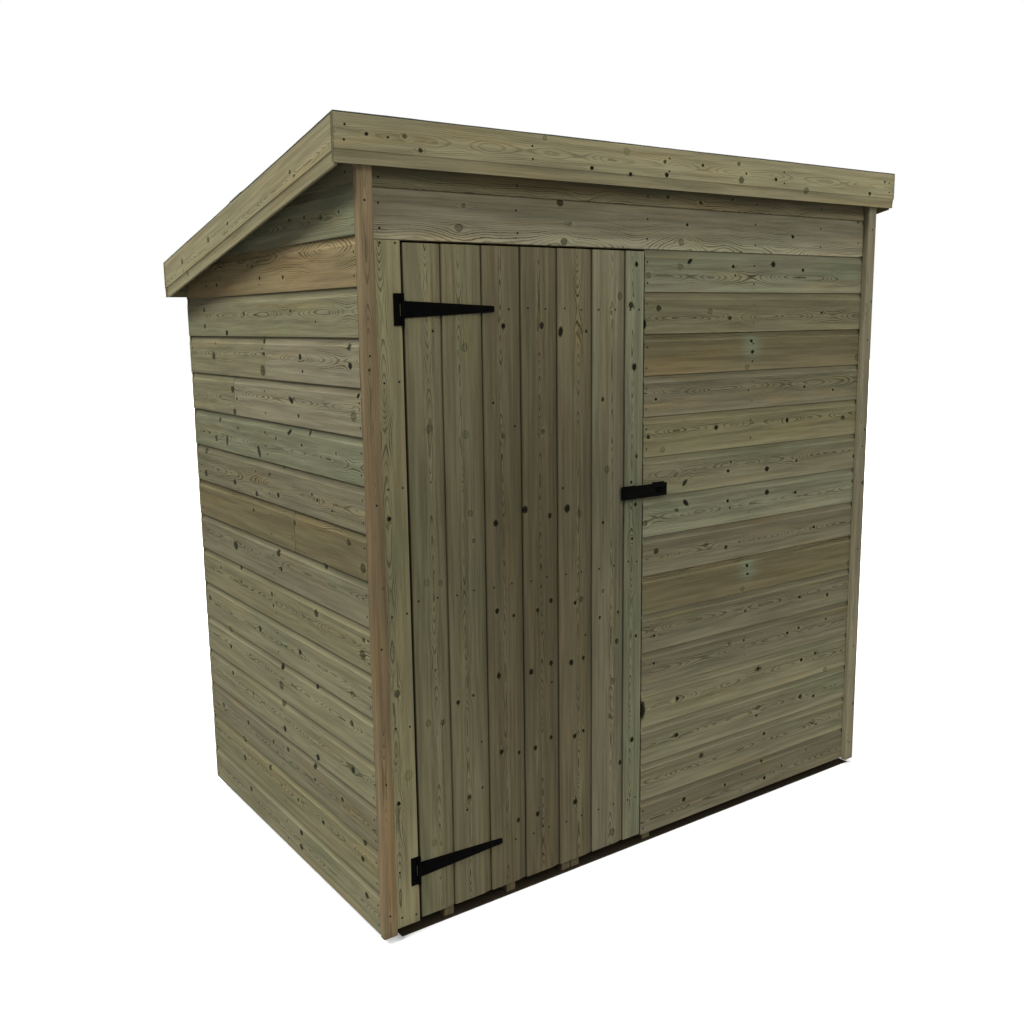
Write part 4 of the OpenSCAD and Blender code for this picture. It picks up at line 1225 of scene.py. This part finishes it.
behind_spots = [(x, down) for x in (26, 520, 968, 1416, 1910) for down in (-29, -59)]
nail_on("back_fascia_nails", "shed", behind_spots, (ROOF_X, back_high[1], back_low[2] + FASCIA_H), 180)

# %% [markdown]
# ## The felt roof
# Mineral felt comes as a metre-wide roll with grit on its face. Two strips lie across the roof, the
# upper one lapping over the lower, and broad-headed nails hold the edges and the lap. The sheet is
# never quite flat, so its grid gets slow waves a fraction of a millimetre high.

# %% Felt strips with a lap
def felt_finish():
    """Green-grey mineral grit on bitumen."""
    material, tree, shader = new_material("mineral_felt")
    spot = lay(tree, "TexCoord").outputs["Object"]
    grains = lay(tree, "TexVoronoi", {"Vector": spot, "Scale": 620.0}).outputs
    speck = lay(tree, "SeparateXYZ", {0: grains["Color"]}).outputs[0]
    cloud = noise(tree, spot, 5.0, 4.0, 0.6)
    colour = mix(tree, ease(tree, speck, 0.2, 0.9), (0.016, 0.022, 0.016, 1), (0.072, 0.087, 0.064, 1))
    colour = mix(tree, ease(tree, cloud, 0.4, 0.7, 0.0, 0.5), colour, (0.06, 0.06, 0.05, 1))
    tree.links.new(colour, shader.inputs["Base Color"])
    tree.links.new(ease(tree, speck, 0.0, 1.0, 0.75, 0.95), shader.inputs["Roughness"])
    bump = lay(tree, "Bump", {"Height": grains["Distance"], "Strength": 0.5, "Distance": 0.0008})
    tree.links.new(bump.outputs[0], shader.inputs["Normal"])
    return material


FELT = felt_finish()
SHEET_T = 1.9 * MM


def felt_strip(name, y0, y1, rise):
    """A strip of felt across the roof between two depths, laid `rise` above the deck's top."""
    only(SOLID)
    bpy.ops.mesh.primitive_grid_add(x_subdivisions=60, y_subdivisions=24, size=1)
    sheet = bpy.context.active_object
    sheet.name = name
    sheet.scale = (2 * ROOF_X, (y1 - y0) / math.cos(SLOPE), 1)
    settle(sheet)
    place(sheet, (0, 0, 0), (-math.degrees(SLOPE), 0, 0))
    middle = (y0 + y1) / 2
    deck_top = DECK_TOP - (middle - ROOF_EDGE_Y) * math.tan(SLOPE)
    place(sheet, (0, middle, deck_top + rise))
    for corner in sheet.data.vertices:
        x, y = corner.co.x, corner.co.y
        corner.co.z += 0.25 * MM * (math.sin(x * 9 + y * 4) + math.sin(y * 13 - x * 3))
        if abs(abs(x) - ROOF_X) < TINY or min(abs(y - y0), abs(y - y1)) < 1 * MM:
            corner.co.z += chance.uniform(-0.4, 0.1) * MM
    only(sheet)
    thick = sheet.modifiers.new("thickness", "SOLIDIFY")
    thick.thickness = SHEET_T
    thick.offset = 1
    bpy.ops.object.modifier_apply(modifier="thickness")
    bpy.ops.object.shade_smooth_by_angle(angle=math.radians(35))
    return sheet


lower = felt_strip("felt_lower", -0.06, -ROOF_EDGE_Y, 0.1 * MM)
upper = felt_strip("felt_upper", ROOF_EDGE_Y, 0.02, 0.4 * MM)
push(upper, lambda p: p.y > -0.065, (0, 0, SHEET_T))
roof = gather("roof_felt_sheets", [lower, upper])
roof.data.materials.append(FELT)
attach(roof, "shed")
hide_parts("roof_felt")
print("felt:", len(roof.data.polygons), "faces")

# %% Clout nails along the edges and the lap
down_slope = 2 * -ROOF_EDGE_Y / math.cos(SLOPE) / MM
wide = 2 * ROOF_X / MM
edge_spots = [(wide * i / 13, down) for i in range(14) for down in (24, down_slope - 24) if 0 < i < 13]
edge_spots += [(x, down_slope * i / 9) for i in range(1, 9) for x in (22, wide - 22)]
nail_on("felt_edge_nails", "shed", edge_spots, (-ROOF_X, ROOF_EDGE_Y, ROOF_HIGH), 0,
        -90 - math.degrees(SLOPE), 1.8, CLOUT)
lap_spots = [(wide * i / 24, -ROOF_EDGE_Y / math.cos(SLOPE) / MM) for i in range(1, 24)]
nail_on("felt_lap_nails", "shed", lap_spots, (-ROOF_X, ROOF_EDGE_Y, ROOF_HIGH + 2 * MM), 0,
        -90 - math.degrees(SLOPE), 1.8, CLOUT)
bpy.data.objects.remove(nail_pattern)

# %% [markdown]
# ## Ironwork
# The tee hinges and the hasp are pressed from plate and painted black. Their shapes are already
# right in the solids, so each is copied, its loose triangles are merged, its edges are softened,
# and screws are added. Dust settles on the paint, so the finish isn't quite even.

# %% Black paint on steel
def black_paint():
    """Matt black with dust on it and a fine orange-peel surface."""
    material, tree, shader = new_material("black_painted_steel")
    spot = lay(tree, "TexCoord").outputs["Object"]
    dust = ease(tree, noise(tree, spot, 45.0, 4.0, 0.65), 0.5, 0.8)
    peel = noise(tree, spot, 700.0, 2.0)
    colour = mix(tree, times(tree, dust, 0.5), (0.0014, 0.0013, 0.0012, 1), (0.005, 0.005, 0.0045, 1))
    tree.links.new(colour, shader.inputs["Base Color"])
    tree.links.new(plus(tree, 0.6, times(tree, dust, 0.25)), shader.inputs["Roughness"])
    shader.inputs["Specular IOR Level"].default_value = 0.01
    bump = lay(tree, "Bump", {"Height": peel, "Strength": 0.25, "Distance": 0.0003})
    tree.links.new(bump.outputs[0], shader.inputs["Normal"])
    return material


PAINT = black_paint()


def from_solid(node, name, width):
    """A copy of a solid with its triangles merged and its edges softened."""
    piece = another(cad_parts[node], name)
    only(piece)
    bpy.ops.object.mode_set(mode="EDIT")
    bpy.ops.mesh.select_all(action="SELECT")
    bpy.ops.mesh.remove_doubles(threshold=1e-5)
    bpy.ops.mesh.dissolve_limited(angle_limit=math.radians(1))
    bpy.ops.object.mode_set(mode="OBJECT")
    return round_edges(piece, width, 2, 50)


bpy.ops.mesh.primitive_cylinder_add(
    vertices=20, radius=4.2 * MM, depth=1.6 * MM, rotation=(math.pi / 2, 0, 0))
screw_pattern = settle(bpy.context.active_object)
round_edges(screw_pattern, 0.9 * MM, 3, 50)
for turn in (0, 90):
    slot_cutter = stick("slot_cutter", (-2.4 * MM, -2 * MM, -0.5 * MM), (2.4 * MM, -0.2 * MM, 0.5 * MM))
    place(slot_cutter, turn=(0, turn + 20, 0))
    only(screw_pattern)
    cut = screw_pattern.modifiers.new("cross", "BOOLEAN")
    cut.object = slot_cutter
    cut.solver = "EXACT"
    bpy.ops.object.modifier_apply(modifier="cross")
    bpy.data.objects.remove(slot_cutter)
print("screw head:", len(screw_pattern.data.polygons), "faces")


def ironwork(node, body, screws=(), face=0.0):
    """Softened steel with its screws, at (x, z) places in the scene, on a face at depth y `face`."""
    pieces = [from_solid(node, f"{node}_iron", 0.45 * MM)]
    for x, z in screws:
        screw = another(screw_pattern, "screw")
        place(screw, (x, face, z), (0, chance.uniform(0, 90), 0))
        pieces.append(screw)
    iron = gather(f"{node}_iron", pieces)
    iron.data.materials.clear()
    iron.data.materials.append(PAINT)
    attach(iron, body)
    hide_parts(node)


PIN_X = -0.797
HINGE_FACE = FACE_Y - 3.2 * MM
HASP_FACE = FACE_Y - 2.7 * MM
STRAP_SCREWS = [(0.022, 0.009), (0.022, -0.009), (0.095, 0), (0.165, 0), (0.235, 0)]
PLATE_SCREWS = [(-0.0135, 0.024), (-0.0135, 0), (-0.0135, -0.024)]
for end, z in (("top", 1.543), ("bottom", 0.163)):
    strap = [(PIN_X + out, z + up) for out, up in STRAP_SCREWS]
    ironwork(f"hinge_strap_{end}", "door", strap, HINGE_FACE)
    plate = [(PIN_X + out, z + up) for out, up in PLATE_SCREWS]
    ironwork(f"hinge_plate_{end}", "shed", plate, HINGE_FACE)
ironwork("hasp_base", "door", [(-0.104, 1.058), (-0.104, 1.036)], HASP_FACE)
ironwork("hasp_flap", "flap")
staple_screws = [(-0.0125, 1.060), (0.0185, 1.060), (-0.0125, 1.034), (0.0185, 1.034)]
ironwork("hasp_staple", "shed", staple_screws, HASP_FACE)
bpy.data.objects.remove(screw_pattern)

# %% [markdown]
# ## Floor, background and light
# The shed stands on a plain pale floor. Light Path makes the floor pale only where the camera sees
# it, and white further off, so that little light bounces from it onto the underside of the roof;
# close to the shed its shadow stays. Under the shed the floor is near black, painted shade for the gap
# beneath the walls. Three distant soft lights stand for large windows, one high on the left, one in
# front and one behind. A soft box in front and a faint sky do the rest.

# %% Floor and backdrop
def seen_by_camera(tree):
    """1 where the camera sees a surface, directly or in metal and glass."""
    path = lay(tree, "LightPath").outputs
    shiny = calc(tree, "MAXIMUM", path["Is Glossy Ray"], path["Is Transmission Ray"])
    return calc(tree, "MAXIMUM", path["Is Camera Ray"], shiny)


only(SOLID)
bpy.ops.mesh.primitive_plane_add(size=60, location=(0, 0, 0))
ground = bpy.context.active_object
ground.name = "studio_floor"
material, tree, shader = new_material("studio_floor")
seen = seen_by_camera(tree)
spot = lay(tree, "SeparateXYZ", {0: lay(tree, "TexCoord").outputs["Object"]}).outputs
# how far a place on the floor lies outside the rectangle under the shed
SHADE_MIDDLE_X = 0.028
SHADE_HALF_X = 0.877
SHADE_HALF_Y = 0.566
from_middle = calc(tree, "ABSOLUTE", minus(tree, spot[0], SHADE_MIDDLE_X))
out_x = calc(tree, "MAXIMUM", minus(tree, from_middle, SHADE_HALF_X), 0.0)
out_y = calc(tree, "MAXIMUM", minus(tree, calc(tree, "ABSOLUTE", spot[1]), SHADE_HALF_Y), 0.0)
away = length_of(tree, out_x, out_y)
glow = plus(tree, ease(tree, away, 0.0, 0.03, 0.0, 0.35), ease(tree, away, 0.03, 0.9, 0.0, 0.75))
glow = times(tree, glow, seen)
tint = mix(tree, seen, (0.22, 0.22, 0.22, 1), (0.8, 0.8, 0.8, 1))
# painted shade: the floor under the shed is near black, standing for the deep shadow in the gap beneath the
# walls
painted_shade_under_shed = times(tree, calc(tree, "LESS_THAN", out_x, 0.0001), calc(tree, "LESS_THAN", out_y, 0.0001))
tint = mix(tree, painted_shade_under_shed, tint, (0.03, 0.024, 0.015, 1))
tree.links.new(tint, shader.inputs["Base Color"])
shader.inputs["Roughness"].default_value = 0.95
shader.inputs["Specular IOR Level"].default_value = 0.0
shader.inputs["Emission Strength"].default_value = 1.0
tree.links.new(join_xyz(tree, glow, glow, glow), shader.inputs["Emission Color"])
ground.data.materials.append(material)
print("studio floor laid")

# %% Sky and lamps
SKY = 0.22
world = bpy.data.worlds.new("studio")
bpy.context.scene.world = world
world.use_nodes = True
tree = world.node_tree
background = tree.nodes["Background"]
background.inputs["Color"].default_value = (1, 1, 1, 1)
brightness = plus(tree, SKY, times(tree, seen_by_camera(tree), 1 - SKY))
tree.links.new(brightness, background.inputs["Strength"])


def softbox(name, at, look_at, size, power):
    """A square area lamp aimed at a point."""
    bpy.ops.object.light_add(type="AREA", location=at)
    lamp = bpy.context.active_object
    lamp.name = name
    lamp.data.size = size
    lamp.data.energy = power
    lamp.rotation_euler = (Vector(look_at) - Vector(at)).to_track_quat("-Z", "Y").to_euler()


def far_light(name, towards, strength, softness):
    """A distant soft light, as a large window or roof light gives."""
    bpy.ops.object.light_add(type="SUN", location=[-6 * v for v in towards])
    lamp = bpy.context.active_object
    lamp.name = name
    lamp.data.energy = strength
    lamp.data.angle = math.radians(softness)
    lamp.rotation_euler = Vector(towards).to_track_quat("-Z", "Y").to_euler()


far_light("key_left", (0.56, 0.10, -0.82), 3.85, 24)
far_light("key_front", (0.14, 0.72, -0.68), 1.56, 34)
softbox("fill_front", (2.5, -6.5, 3.0), (0, -0.5, 1.0), 3.0, 50)
far_light("fill_behind", (-0.70, -0.62, -0.35), 2.8, 40)
